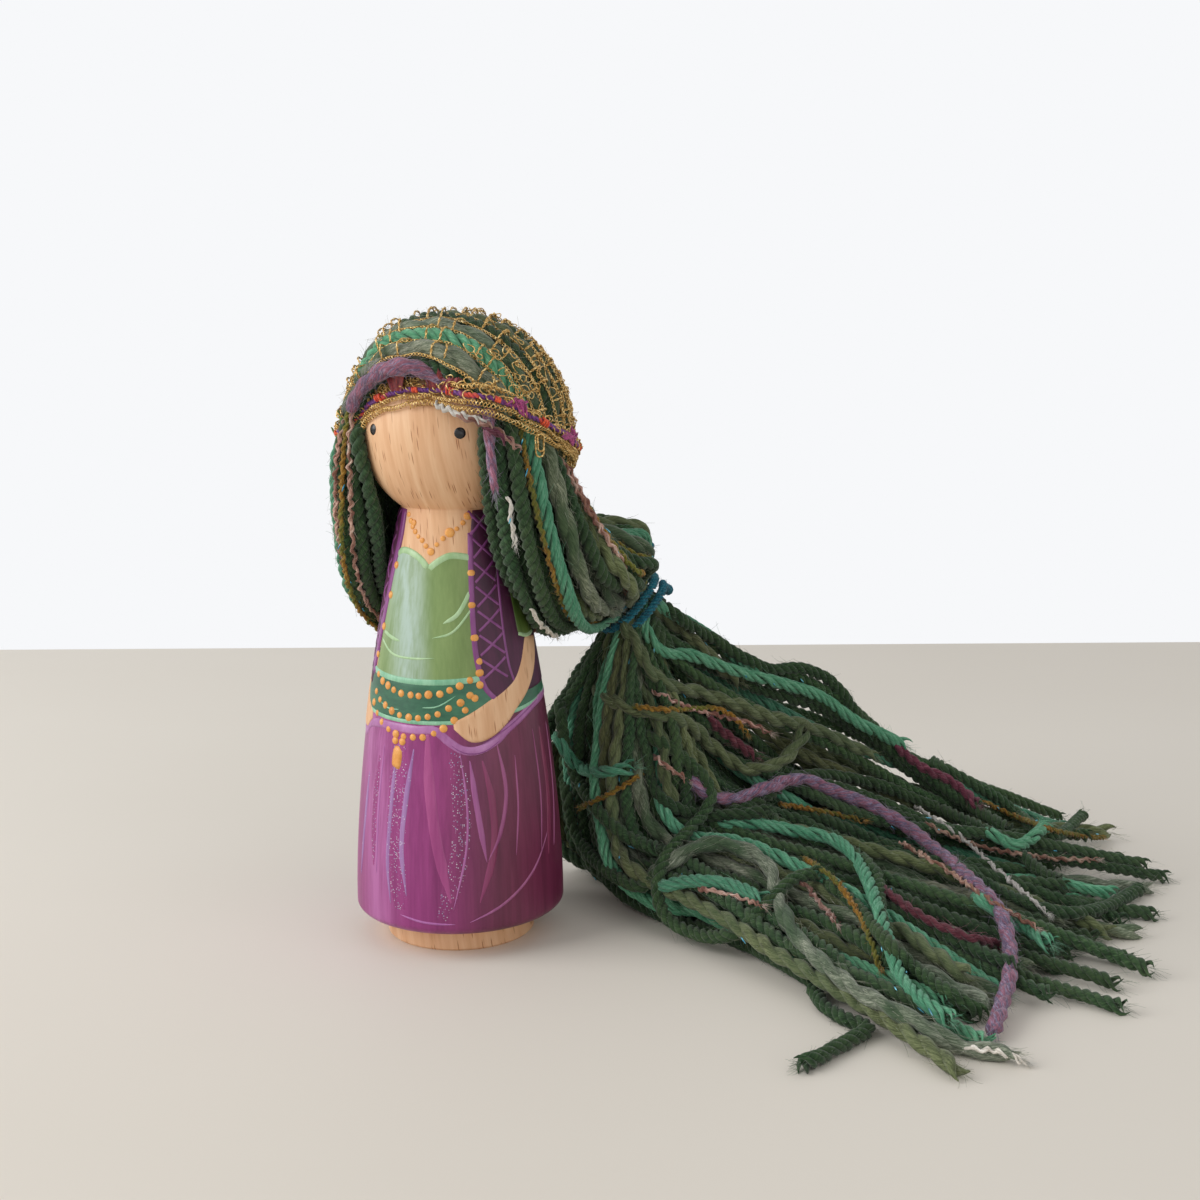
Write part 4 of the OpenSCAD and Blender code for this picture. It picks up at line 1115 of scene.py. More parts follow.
def twistStrand(batch, strand, look, dice):
    length = lengthOf(strand["route"])
    count = max(8, int(length / max(0.3, min(0.6, look["pitch"] / 11))))
    route = evenly(strand["route"], count)

    # random drift with a new value about every so many millimetres
    def drifts(every, least):
        return drift(dice, count, max(least, int(length / every)))

    radius = radiusAlong(strand, count) * (1 + 0.09 * drifts(7, 2))
    side, up = routeFrames(route)[1:]
    t = np.linspace(0, 1, count)
    run = t * length
    if "crinkle" in look:
        waves = 2 * math.pi * run / 2.6 + 3.4 * drifts(4, 2)
        route = route + look["crinkle"] * (np.cos(waves)[:, None] * side + np.sin(waves * 0.7)[:, None] * up)
    plies, share = look["plies"], look["core"]
    phase = dice.uniform(0, 2 * math.pi)
    offset = dice.uniform(0, 50, 3)
    tone = dice.uniform(0.74, 1.2)
    shade = np.array([tone * dice.uniform(0.94, 1.06), tone, tone * dice.uniform(0.92, 1.06), 1.0])
    loose = ease((run - length + 3.6) / 3.6) if strand["frayed"] else 0 * t
    spin = 2 * math.pi * np.arange(batch.sides) / batch.sides
    around = spin[None] + 2 * math.pi * look["wrap"] * run[:, None]
    for ply in range(plies):
        turn = 2 * math.pi * (run / look["pitch"] + ply / plies) + phase + 0.5 * drifts(12, 3)
        away = radius * (1 - share) * (1 + 1.3 * loose) * (1 + 0.1 * drifts(5, 4))
        centre = route + away[:, None] * (np.cos(turn)[:, None] * side + np.sin(turn)[:, None] * up)
        thick = radius * share * 1.07 * (1 - 0.78 * loose ** 2) * (1 + 0.07 * drifts(3, 4))
        thick[0] *= 0.5
        thick[-1] *= 0.35
        centre[:, 2] = np.maximum(centre[:, 2], thick)
        fibre = np.zeros((count, batch.sides, 3))
        fibre[..., 0] = np.cos(around) * thick[:, None] + offset[0] + ply * 7
        fibre[..., 1] = np.sin(around) * thick[:, None] + offset[1]
        fibre[..., 2] = (run * 0.14 + offset[2])[:, None]
        lane = np.stack([run, np.full(count, offset[0] + ply * 3), 0 * run], 1)
        batch.add(centre, side, up, thick, fibre=fibre.reshape(-1, 3), run=lane,
                  shade=np.tile(shade, (count * batch.sides, 1)))


def makeFibreMaterial():
    material, tree, shader = newMaterial("looseFibres", Roughness=0.8, Specular_IOR_Level=0.3,
                                         Sheen_Weight=0.3)
    tone = ramp(tree, noise(tree, objectPlace(tree), 900.0, 1.0), [(0.3, grey(0.7)), (0.7, grey(1.2))])
    plug(tree, shader["Base Color"], mixColour(tree, 1.0, attribute(tree, "tint", "Color"), tone, "MULTIPLY"))
    return material


fibreMaterial = makeFibreMaterial()


# Loose fibres that stand off the strands, split over a few pieces
def addFibres(name, strands, seed, more=1.0):
    dice = np.random.default_rng(seed)
    rings, sides, tipFibres = 4, 3, 30
    shape = tubeFaces(rings, sides)
    points, tints = [], []
    t = np.linspace(0, 1, rings)[:, None]
    thick = np.linspace(0.034, 0.016, rings)
    for strand in strands:
        look = yarns[strand["kind"]]
        route = strand["route"]
        last = len(route) - 1
        forward, side, up = routeFrames(route)
        spots = dice.uniform(0.5, last, int(lengthOf(route) * look["fuzz"] * more))
        if strand["frayed"]:
            spots = np.concatenate([spots, dice.uniform(last - 1.5, last, tipFibres)])
        for spot in spots:
            i = min(int(spot), last - 1)
            at = route[i] + (route[i + 1] - route[i]) * (spot - i)
            a = dice.uniform(0, 2 * math.pi)
            out = math.cos(a) * side[i] + math.sin(a) * up[i]
            tip = strand["frayed"] and spot > last - 1.5
            size = dice.uniform(0.8, 2.6) * (0.6 if look["width"] < 2 else 1)
            lean = forward[i] * (dice.uniform(0.6, 1.4) if tip
                                 else dice.choice([-1, 1]) * dice.uniform(0.5, 1.4))
            bent = dice.normal(0, 0.5, 3)
            base = at + out * strand["radius"][i] * (dice.uniform(0, 0.8) if tip else 0.92)
            line = base + size * (t * (lean + out * dice.uniform(0.1, 0.55)) + t * t * bent * 0.5)
            line[:, 2] = np.maximum(line[:, 2], 0.08)
            across = unit(np.cross(lean + out, bent))
            other = unit(np.cross(lean + out, across))
            points.append(tubePoints(line, np.tile(across, (rings, 1)), np.tile(other, (rings, 1)), thick,
                                     sides))
            mix = dice.uniform(0.1, 0.9)
            tints.append(np.array(look["middle"]) * (1 - mix) + np.array(look["light"]) * mix)
    limit = manyFaces // len(shape)
    for part, first in enumerate(range(0, len(points), limit)):
        own = points[first:first + limit]
        starts = np.arange(len(own))[:, None, None] * rings * sides
        tint = np.repeat(np.array(tints[first:first + limit]), rings * sides, axis=0)
        meshPiece(name + pieceLetters[part], np.concatenate(own), (shape[None] + starts).reshape(-1, 3),
                  fibreMaterial, layers={"tint": tint})


# Bright blue slivers of glitter that lie on thin strands
def addSlivers(name, strands, seed, perLength):
    dice = np.random.default_rng(seed)
    batch = TubeBatch(4)
    for strand in strands:
        route, length = strand["route"], lengthOf(strand["route"])
        forward, side, up = routeFrames(route)
        for spot in dice.uniform(2, len(route) - 4, max(1, int(length * perLength))):
            i = int(spot)
            a = dice.uniform(0, 2 * math.pi)
            out = math.cos(a) * side[i] + math.sin(a) * up[i]
            start = route[i] + out * (strand["radius"][i] + 0.12)
            lean = unit(forward[i] + 0.5 * (np.cos(a) * up[i] - np.sin(a) * side[i]))
            line = start + np.linspace(0, dice.uniform(0.7, 1.7), 5)[:, None] * lean
            line[:, 2] = np.maximum(line[:, 2], 0.2)
            batch.thread(line, np.array([0.06, 0.14, 0.15, 0.13, 0.05]))
    batch.piece(name, "olive_yarn", sliverMaterial)


def makeSliverMaterial():
    material, tree, shader = newMaterial("blueSliver", Roughness=0.22, Specular_IOR_Level=0.8, Metallic=0.35)
    shine = noise(tree, objectPlace(tree), 700.0, 1.0)
    plug(tree, shader["Base Color"], ramp(tree, shine, [(0.35, srgb(40, 140, 176)),
                                                        (0.6, srgb(130, 214, 236))]))
    return material


sliverMaterial = makeSliverMaterial()


# Crown: rows of yarn over the head, and a darker layer below that shows in the grooves
def crownStrands():
    dice = np.random.default_rng(5)
    look = {"count": 60, "sunk": 0.35,
            "widths": {"green": 3.7, "mint": 3.7, "olive": 3.8, "grey": 3.9, "mauve": 3.3},
            "thinner": 0.22, "underSunk": 1.4, "underRadius": 1.7}
    rows, under = [], []
    r = crownR - look["sunk"]
    for k, kind in enumerate(wig["order"]):
        end = rowCircle(k, r)[4]
        route = rowRoute(k, r, -end - 2, end + 2, look["count"])
        route = route + unit(route - headCentre) * (0.2 * drift(dice, look["count"], 6))[:, None]
        thick = look["widths"][kind] / 2 * (1 - look["thinner"] * boundAt(route - headCentre))
        if kind == "mauve":
            # the brow strand goes below the trim at the doll's left
            below = ease((np.linspace(0, 1, look["count"]) - 0.5) / 0.16)
            route = route + unit(route - headCentre) * (0.5 * (1 - below) - 2.0 * below)[:, None]
            thick = thick * (1 - 0.2 * below)
        rows.append(strandOf(route, thick, kind))
        if k < wig["rows"] - 1:
            end = rowCircle(k + 0.5, r - look["underSunk"])[4]
            route = rowRoute(k + 0.5, r - look["underSunk"], -end, end, look["count"])
            under.append(strandOf(route, look["underRadius"], "green"))
    return rows, under


# Short strands that cover the nape, between the last row and the hem
def napeStrands():
    dice = np.random.default_rng(6)
    middle = unit(np.array([0, 0.95, -0.31]))
    side = np.array([1.0, 0, 0])
    down = np.cross(middle, side)
    strands = []
    for x in np.arange(-8.4, 8.5, 2.4):
        a = np.linspace(-0.52, 0.52, 30)[:, None]
        wander = (x * (1 - 0.12 * a) + 0.4 * drift(dice, 30, 4)[:, None]) / crownR
        way = unit(np.cos(a) * middle + np.sin(a) * down + wander * side)
        strands.append(strandOf(headCentre + (crownR - 1.0) * way, np.full(30, 1.6), "green"))
    return strands


# A sheet below the rows in the green yarn, darkened all over: painted shade for the grooves between the rows
def makeUnderLayer():
    across, along = 40, 48
    sheets = []
    for r in (peg["headR"] + 1.8, peg["headR"] + 0.05):
        for k in np.linspace(0.0, wig["rows"] - 1, across):
            end = rowCircle(k, r)[4]
            sheets.append(rowRoute(k, r, -end, end, along))
    points = np.concatenate(sheets)
    # shade 0.55 is painted shade, darker than the yarn itself
    layers = {"fibre": points * [0.7, 3.0, 3.0], "run": points, "shade": np.full((len(points), 4), 0.55)}
    meshPiece("underLayer", points, gridFaces(across, along)[:, ::-1],
              yarns["green"]["material"], ("under_layer",), layers)


crown, crownUnder = crownStrands()
for kind in ("green", "mint", "olive", "grey", "mauve"):
    own = [s for s in crown if s["kind"] == kind]
    yarnPieces("crown_" + kind, own, ("crown_" + kind + "_yarn",), 40 + len(kind))
yarnPieces("crownUnder", crownUnder + napeStrands(), (), 71)
makeUnderLayer()
addFibres("crownFibres", crown, 21, 1.6)
print("crown")


# Side hair

def sideStrands(side):
    dice = np.random.default_rng(8 if side > 0 else 9)
    label = "left" if side > 0 else "right"
    routes, radii, kinds = [], [], []
    count = 44
    t = np.linspace(0, 1, count)
    # number of the row, yarn, and how deep it lies below the outer strands
    plan = [(k, kind, 0) for k, kind in enumerate(hangKinds[label])]
    plan += [(k + 0.5, ("green", "green", "olive", "green", "grey")[k % 5], 1)
             for k in range(wig["rows"] - 1)]
    plan += [(k, kind, -0.9) for k, kind in hangKinds[label + "Thin"]]
    plan += [(k + 0.25, "green", 1.9) for k in range(7)]
    for k, kind, layer in plan:
        place = slotPlace(k, side, 0.6 if layer > 0 else 1.0)
        inward = 0.5 + 1.7 * max(layer, -0.4) + (0.9 if side < 0 else 0)
        route = sideRoute(k, side, count, crownR - 1.6 * max(layer, -0.5), inward, place)
        across, up = routeFrames(route)[1:]
        loose = np.sin(math.pi * t)[:, None]
        drifted = across * drift(dice, count, 4)[:, None] + up * drift(dice, count, 4)[:, None]
        route = route + loose * drifted * 1.2
        thick = yarns[kind]["width"] / 2 * 0.92
        routes.append(evenly(route, count))
        radii.append(thick + (min(thick, wig["tied"] / 2) - thick) * ease((t - 0.4) / 0.6))
        kinds.append(kind)
    routes, radii = np.array(routes), np.array(radii)
    pinned = np.zeros(radii.shape, bool)
    pinned[:, :2] = pinned[:, -2:] = True
    routes = settle(routes, radii, pinned, 50, 0.0, 0.25)
    made = []
    for route, radius, kind in zip(routes, radii, kinds):
        if kind == "mauve":
            made.append(strandOf(route[:9], radius[:9] * np.linspace(0.85, 0.5, 9), kind, True))
        elif kind == "pale":
            # only two short lengths of it come to the surface
            made += [strandOf(route[a:b], radius[a:b], kind, True) for a, b in ((8, 14), (20, 29))]
        else:
            made.append(strandOf(route, radius, kind))
    return made


sides = {"left": sideStrands(1), "right": sideStrands(-1)}
for label, strands in sides.items():
    for kind in ("green", "mint", "olive", "grey", "mauve", "pink", "pale", "amber"):
        own = [s for s in strands if s["kind"] == kind]
        shown = "mauve" if (label, kind) == ("right", "pink") else kind
        bare = kind in ("pale", "amber") or (label, kind) == ("left", "pink")
        named = () if bare else (label + "_" + shown + "_yarn",)
        if own:
            yarnPieces(label + "_" + kind, own, named, 90 + len(kind) + len(label))
    addFibres(label + "Fibres", strands, 33 + len(label), 0.8)
thin = [s for own in sides.values() for s in own if s["kind"] in ("amber", "pale")]
addSlivers("sideSlivers", thin, 301, 0.12)
print("side hair")


# Tail

# Strands that lie on top, from below upwards: the yarn, and points picked in the picture's pixels
topStrands = [
    ("green", [(564, 775), (575, 832), (604, 868), (640, 886), (661, 868), (690, 850), (719, 843),
               (748, 854)]),
    ("grey", [(640, 886), (668, 864), (700, 846), (735, 846), (770, 868), (778, 900), (800, 940), (850, 985),
              (905, 1016), (960, 1046), (1020, 1060)]),
    ("green", [(642, 598), (666, 646), (712, 668), (760, 690), (815, 706), (865, 738), (915, 775),
               (975, 815)]),
    ("green", [(645, 597), (672, 630), (712, 646), (750, 666), (800, 678), (845, 704), (890, 742), (930, 775),
               (985, 810)]),
    ("green", [(643, 598), (664, 636), (705, 656), (748, 676), (800, 692), (850, 722), (905, 760), (960, 800),
               (1010, 830)]),
    ("olive", [(646, 597), (664, 617), (684, 632), (704, 650), (722, 668), (740, 684)]),
    ("mint", [(647, 596), (666, 610), (690, 624), (719, 642), (737, 660), (760, 676)]),
    ("green", [(648, 595), (668, 609), (694, 628), (716, 640), (737, 654), (769, 669), (798, 668), (823, 676),
               (841, 692), (858, 716), (880, 738)]),
    ("mint", [(641, 599), (648, 634), (664, 652), (690, 655), (733, 670), (777, 682), (820, 696), (856, 721),
              (908, 747)]),
    ("olive", [(628, 600), (626, 626), (636, 644), (648, 666), (666, 684), (690, 690), (733, 703), (773, 718),
               (823, 732), (876, 758)]),
    ("olive", [(590, 686), (625, 707), (661, 714), (690, 725), (712, 746), (744, 768), (777, 764), (798, 743),
               (806, 726)]),
    ("green", [(700, 826), (760, 800), (800, 776), (860, 780), (930, 805), (1000, 838), (1042, 872),
               (1062, 880)]),
    ("green", [(762, 812), (805, 838), (842, 846), (874, 872), (880, 912), (890, 960)]),
    ("mint", [(700, 826), (748, 823), (791, 830), (834, 840), (858, 862), (874, 897), (886, 935), (906, 985),
              (955, 1024)]),
    ("mint", [(655, 888), (694, 881), (733, 886), (768, 902)]),
    ("green", [(648, 770), (658, 794), (683, 811), (716, 815), (770, 812)]),
    ("green", [(628, 728), (661, 742), (690, 764), (709, 786), (708, 807), (690, 829), (668, 854), (658, 880),
               (661, 908), (679, 927), (712, 937), (741, 930), (760, 911), (792, 880), (822, 872)]),
    ("green", [(820, 880), (850, 900), (905, 960), (960, 1000), (985, 1015)]),
    ("wine", [(882, 888), (920, 915), (960, 934), (1004, 946)]),
    ("green", [(950, 862), (1010, 896), (1066, 913), (1105, 907), (1142, 887)]),
    ("mint", [(975, 896), (1020, 925), (1054, 946)]),
    ("mauve", [(676, 752), (700, 790), (733, 799), (769, 787), (802, 779), (838, 793), (874, 807), (910, 829),
               (942, 854), (971, 880), (996, 905), (1008, 935), (1010, 975), (1000, 1010), (992, 1036)]),
    ("green", [(812, 1000), (842, 1020), (868, 1030), (840, 1048), (798, 1070)]),
    ("green", [(560, 700), (566, 750), (590, 800), (625, 835), (660, 850)]),
    ("mint", [(556, 735), (575, 764), (600, 772), (636, 766)]),
    ("green", [(930, 760), (1000, 800), (1050, 836), (1084, 814)]),
    ("mint", [(985, 830), (1018, 845), (1048, 824)]),
]
thinStrands = [
    ("wine", [(892, 742), (920, 766), (952, 782), (980, 806)]),
    ("wine", [(706, 716), (733, 740), (757, 758)]),
    ("amber", [(630, 706), (672, 710), (712, 708), (733, 717), (748, 736)]),
    ("amber", [(642, 774), (611, 793), (579, 808)]),
    ("amber", [(778, 804), (820, 811), (865, 821)]),
    ("amber", [(978, 800), (1030, 822), (1068, 834), (1104, 838)]),
    ("amber", [(800, 856), (835, 880), (862, 920), (882, 972)]),
    ("pink", [(652, 690), (690, 708), (745, 722), (772, 734)]),
    ("pink", [(654, 756), (672, 770), (690, 782)]),
    ("pink", [(700, 888), (735, 896), (764, 906)]),
    ("pink", [(800, 880), (822, 905), (838, 925)]),
    ("pink", [(900, 842), (950, 872), (990, 900), (1040, 930)]),
    ("pink", [(920, 822), (980, 846), (1050, 858), (1100, 860)]),
    ("pale", [(915, 806), (960, 836), (1000, 872), (1050, 915)]),
    ("pale", [(960, 1048), (1000, 1052), (1028, 1064)]),
]


# Heights of the pile of strands, on a square grid seen from above
pile = {"left": -40.0, "front": -95.0, "cell": 0.6, "tall": np.zeros((380, 420)),
        "ridge": np.array([-math.sin(math.radians(37.5)), math.cos(math.radians(37.5)), 0])}


# The cells of the pile that places lie in
def pileCell(places):
    column = ((places[:, 0] - pile["left"]) / pile["cell"]).astype(int)
    row = ((places[:, 1] - pile["front"]) / pile["cell"]).astype(int)
    return column, row


def addToPile(strand):
    cell, tall = pile["cell"], pile["tall"]
    count = max(8, int(lengthOf(strand["route"]) / cell))
    route = evenly(strand["route"], count)
    radius = radiusAlong(strand, count)
    column, row = pileCell(route)
    for a in range(-3, 4):
        for b in range(-3, 4):
            off = (a * a + b * b) * cell * cell
            inside = off < radius ** 2
            height = route[:, 2] + np.sqrt(np.maximum(radius ** 2 - off, 0))
            spot = np.clip(column + a, 0, tall.shape[0] - 1), np.clip(row + b, 0, tall.shape[1] - 1)
            np.maximum.at(tall, (spot[0][inside], spot[1][inside]), height[inside])


# A strand drawn as the picture shows it, laid on the pile or the table that lies behind it there
def laidRoute(places, radius, count):
    flat = throughPoints(places, count)
    far = np.arange(200.0, 470.0, 0.5)
    focal, middle = shot["lens"] / shot["sensor"] * shot["pixels"], shot["pixels"] / 2
    rays = np.stack([(flat[:, 0] - middle) / focal, (middle - flat[:, 1]) / focal, np.full(count, -1.0)], 1)
    rays = unit(rays @ np.array(cameraTurn().to_matrix()).T)
    eye = np.array(shot["place"])
    tall = pile["tall"]
    found = np.zeros(count)
    for n, ray in enumerate(rays):
        line = eye + far[:, None] * ray
        column, row = pileCell(line)
        under = tall[np.clip(column, 0, tall.shape[0] - 1), np.clip(row, 0, tall.shape[1] - 1)]
        below = line[:, 2] < np.maximum(under, 0) + 0.75 * radius
        # over the pile it lies no farther back than the ridge of the tail
        ridge = (pile["ridge"] @ (tie["place"] - eye)) / (pile["ridge"] @ ray)
        found[n] = min(far[np.argmax(below)] if below.any() else far[-1], ridge if ridge > 0 else far[-1])
    window = 9
    half = window // 2
    windows = np.lib.stride_tricks.sliding_window_view(np.pad(found, half, "edge"), window)
    even = np.convolve(np.pad(np.median(windows, axis=1), half, "edge"), np.ones(window) / window, "valid")
    sunk = 4 * radius * (1 - ease(np.arange(count) / 5.0))
    route = eye + (even + sunk)[:, None] * rays
    route[:, 2] = np.maximum(route[:, 2], radius)
    return route


# Strands that fall straight down behind the doll before they turn along the table
curtain = {"count": 25, "left": 2.0, "right": 36.0,
           "kinds": ["green", "green", "olive", "green", "green", "mint", "green", "grey", "green", "green",
                     "olive"]}


def curtainRoute(number, count, dice):
    share = (number + 0.5) / curtain["count"]
    x = curtain["left"] + (curtain["right"] - curtain["left"]) * share + dice.uniform(-2, 2)
    y = 36 - 7 * share + dice.uniform(-1, 4)
    turn = heading(-2 - 34 * share + dice.uniform(-6, 8))
    across = np.array([-turn[1], turn[0], 0])
    reach = dice.uniform(38, 60 + 24 * share)
    start = tie["place"] + slotOffset((dice.uniform(-4, 4), dice.uniform(-4, 1)))
    foot = np.array([x + 3, y - 1, 5.0 + 4 * dice.uniform(0, 1)])
    points = [start, start + [0.3 * (x - start[0]), 0.3 * (y - start[1]), -10],
              [x, y, 32 + dice.uniform(-4, 4)], [x, y - 1, 18.0], foot]
    for far in (0.3, 0.62, 1.0):
        points.append(foot * [1, 1, 0] + turn * reach * far + across * dice.uniform(-2, 5)
                      + [0, 0, 2 + 5 * dice.uniform(0, 1) * (1 - far)])
    return throughPoints(points, count)


def tailStrands():
    dice = np.random.default_rng(17)
    count = 56
    routes, kinds = [], []
    # the strands of the rows, in the order that they lie across the tie
    places = {(k, side): slotPlace(k, side) for k in range(wig["rows"]) for side in (1, -1)}
    order = sorted(places, key=lambda key: (-places[key][0], -key[1]))
    for rank, key in enumerate(order):
        share = rank / (len(order) - 1)
        reach = fan["length"] * dice.uniform(0.84, 1.06)
        routes.append(tailRoute(places[key], share, reach, count, dice, dice.uniform(1, 3)))
        kind = wig["order"][key[0]]
        kinds.append("green" if kind == "mauve" else kind)
    # more strands below and between them
    for extra in range(fan["more"]):
        angle, far = dice.uniform(0, 2 * math.pi), 5.2 * math.sqrt(dice.uniform(0, 1))
        place = (far * math.cos(angle), far * math.sin(angle) * 0.8 - 1.2)
        share = (extra + dice.uniform(0, 1)) / fan["more"]
        reach = fan["length"] * dice.uniform(0.62, 1.02)
        routes.append(tailRoute(place, share, reach, count, dice, dice.uniform(2, 5)))
        kinds.append(dice.choice(["green", "green", "green", "green", "olive", "grey", "mint"]))
    for number in range(curtain["count"]):
        routes.append(curtainRoute(number, count, dice))
        kinds.append(curtain["kinds"][number % len(curtain["kinds"])])
    t = np.linspace(0, 1, count)
    thick = np.array([yarns[k]["width"] / 2 * fan["slim"] for k in kinds])
    tied = np.minimum(thick, wig["tied"] / 2)[:, None]
    radii = tied + (thick[:, None] - tied) * ease(t / 0.35)[None]
    routes = np.array([evenly(r, count) for r in routes])
    pinned = np.zeros(radii.shape, bool)
    pinned[:, :2] = True
    routes = settle(routes, radii, pinned, 70, 0.012, 0.2)
    made = [strandOf(r, w, k, True) for r, w, k in zip(routes, radii, kinds)]
    for strand in made:
        addToPile(strand)
    # the strands that lie on top, one over the other
    for kind, places in topStrands:
        radius = yarns[kind]["width"] / 2 * fan["slim"]
        made.append(strandOf(laidRoute(places, radius, count), np.full(count, radius), kind, True))
        addToPile(made[-1])
    return made


tail = tailStrands()
for kind in ("green", "mint", "olive", "grey", "mauve"):
    own = [s for s in tail if s["kind"] == kind]
    yarnPieces("tail_" + kind, own, ("tail_" + kind + "_yarn",), 140 + len(kind))
yarnPieces("tailWine", [s for s in tail if s["kind"] == "wine"], (), 211)
thin = []
for kind, points in thinStrands:
    radius = yarns[kind]["width"] / 2
    thin.append(strandOf(laidRoute(points, radius, 60), np.full(60, radius), kind, True))
for kind in ("pink", "wine", "amber", "pale"):
    yarnPieces("tailThin_" + kind, [s for s in thin if s["kind"] == kind], (), 201 + len(kind))
addFibres("tailFibres", tail + thin, 51, 0.8)
addSlivers("tailSlivers", [s for s in thin if s["kind"] == "amber"] + tail[::5], 302, 0.05)
print("tail")


# Tie: teal thread wound round the bundle, with two loose ends
def makeTie():
    look = {"turns": 3, "radius": (tie["rings"][0] + 0.5) * wig["tied"] + 1.0, "pitch": 2.4, "end": 10.0}
    share = np.linspace(0, 1, 90)
    a = 2 * math.pi * look["turns"] * share
    along = look["pitch"] * look["turns"] * (share - 0.5)
    wound = tie["place"] + along[:, None] * tieAxis + look["radius"] * (
        np.cos(a)[:, None] * tieUp - np.sin(a)[:, None] * tieSide)
    first = unit(tieSide + tieUp / 2 - tieAxis / 4)
    last = unit(tieAxis / 2 - tieSide)
    out = np.linspace(0, look["end"], 16)[1:, None]
    route = np.concatenate([wound[0] + out[::-1] * first, wound, wound[-1] + out * last])
    strand = strandOf(route, yarns["teal"]["width"] / 2, "teal", True)
    yarnPieces("hairTie", [strand], ("hair_tie",), 61)
    addFibres("tieFibres", [strand], 62, 1.0)


makeTie()
print("tie")


# Scarf

def makeGoldMaterial():
    material, tree, shader = newMaterial("goldThread", Metallic=0.6, Specular_IOR_Level=0.6)
    glint = noise(tree, objectPlace(tree), 2200.0, 2.0)
    plug(tree, shader["Base Color"], ramp(tree, glint, [(0.3, srgb(132, 98, 44)), (0.5, srgb(206, 164, 92)),
                                                        (0.68, srgb(252, 226, 162))]))
    plug(tree, shader["Roughness"], ramp(tree, glint, [(0.35, grey(0.5)), (0.65, grey(0.22))]))
    addBump(tree, shader, glint, 0.5, 0.08)
    return material


gold = makeGoldMaterial()


# Three threads plaited along a route, loosely and unevenly: the chain of the net and of the hem
def plait(batch, route, width, thread, pitch, outward, dice):
    length = lengthOf(route)
    count = int(length / pitch * 9)
    line = evenly(route, count)
    forward = unit(np.gradient(line, axis=0))
    out = unit(line - outward)
    out = unit(out - (out * forward).sum(1)[:, None] * forward)
    across = np.cross(forward, out)
    uneven = 1.3 * drift(dice, count, max(3, int(length / 4)))
    t = 2 * math.pi * np.linspace(0, length, count) / pitch + uneven
    spread = width * (1 + 0.35 * drift(dice, count, max(3, int(length / 3))))
    for k in range(3):
        phase = t + 2 * math.pi * k / 3
        batch.thread(line + (spread / 2 * np.sin(phase))[:, None] * across
                     + (spread / 3.2 * np.cos(2 * phase))[:, None] * out, thread / 2)


# One small curl of thread that lies on a surface; lean turns its plane up from the surface
def curl(batch, base, out, along, size, lean, thread, dice):
    across = unit(np.cross(out, along))
    spin = np.linspace(0, 2 * math.pi * dice.uniform(0.8, 1.1), 13)
    squash = dice.uniform(0.6, 1.0)
    flat = (np.cos(spin) * size)[:, None] * along + (np.sin(spin) * size * squash)[:, None] * (
        math.cos(lean) * across + math.sin(lean) * out)
    batch.thread(base + flat + out * (0.25 * np.sin(spin * 2))[:, None], thread)


# Two fine threads twisted round each other along a line
def twistedThread(batch, line, turns, away, radius):
    side, up = routeFrames(line)[1:]
    for half in (0, math.pi):
        turned = np.cos(turns + half)[:, None] * side + np.sin(turns + half)[:, None] * up
        batch.thread(line + away * turned, radius)


# A place over one row, half a step before it or after it where k says so
def rowPoint(k, r, angle):
    return rowRoute(k, r, angle, angle, 1)[0]


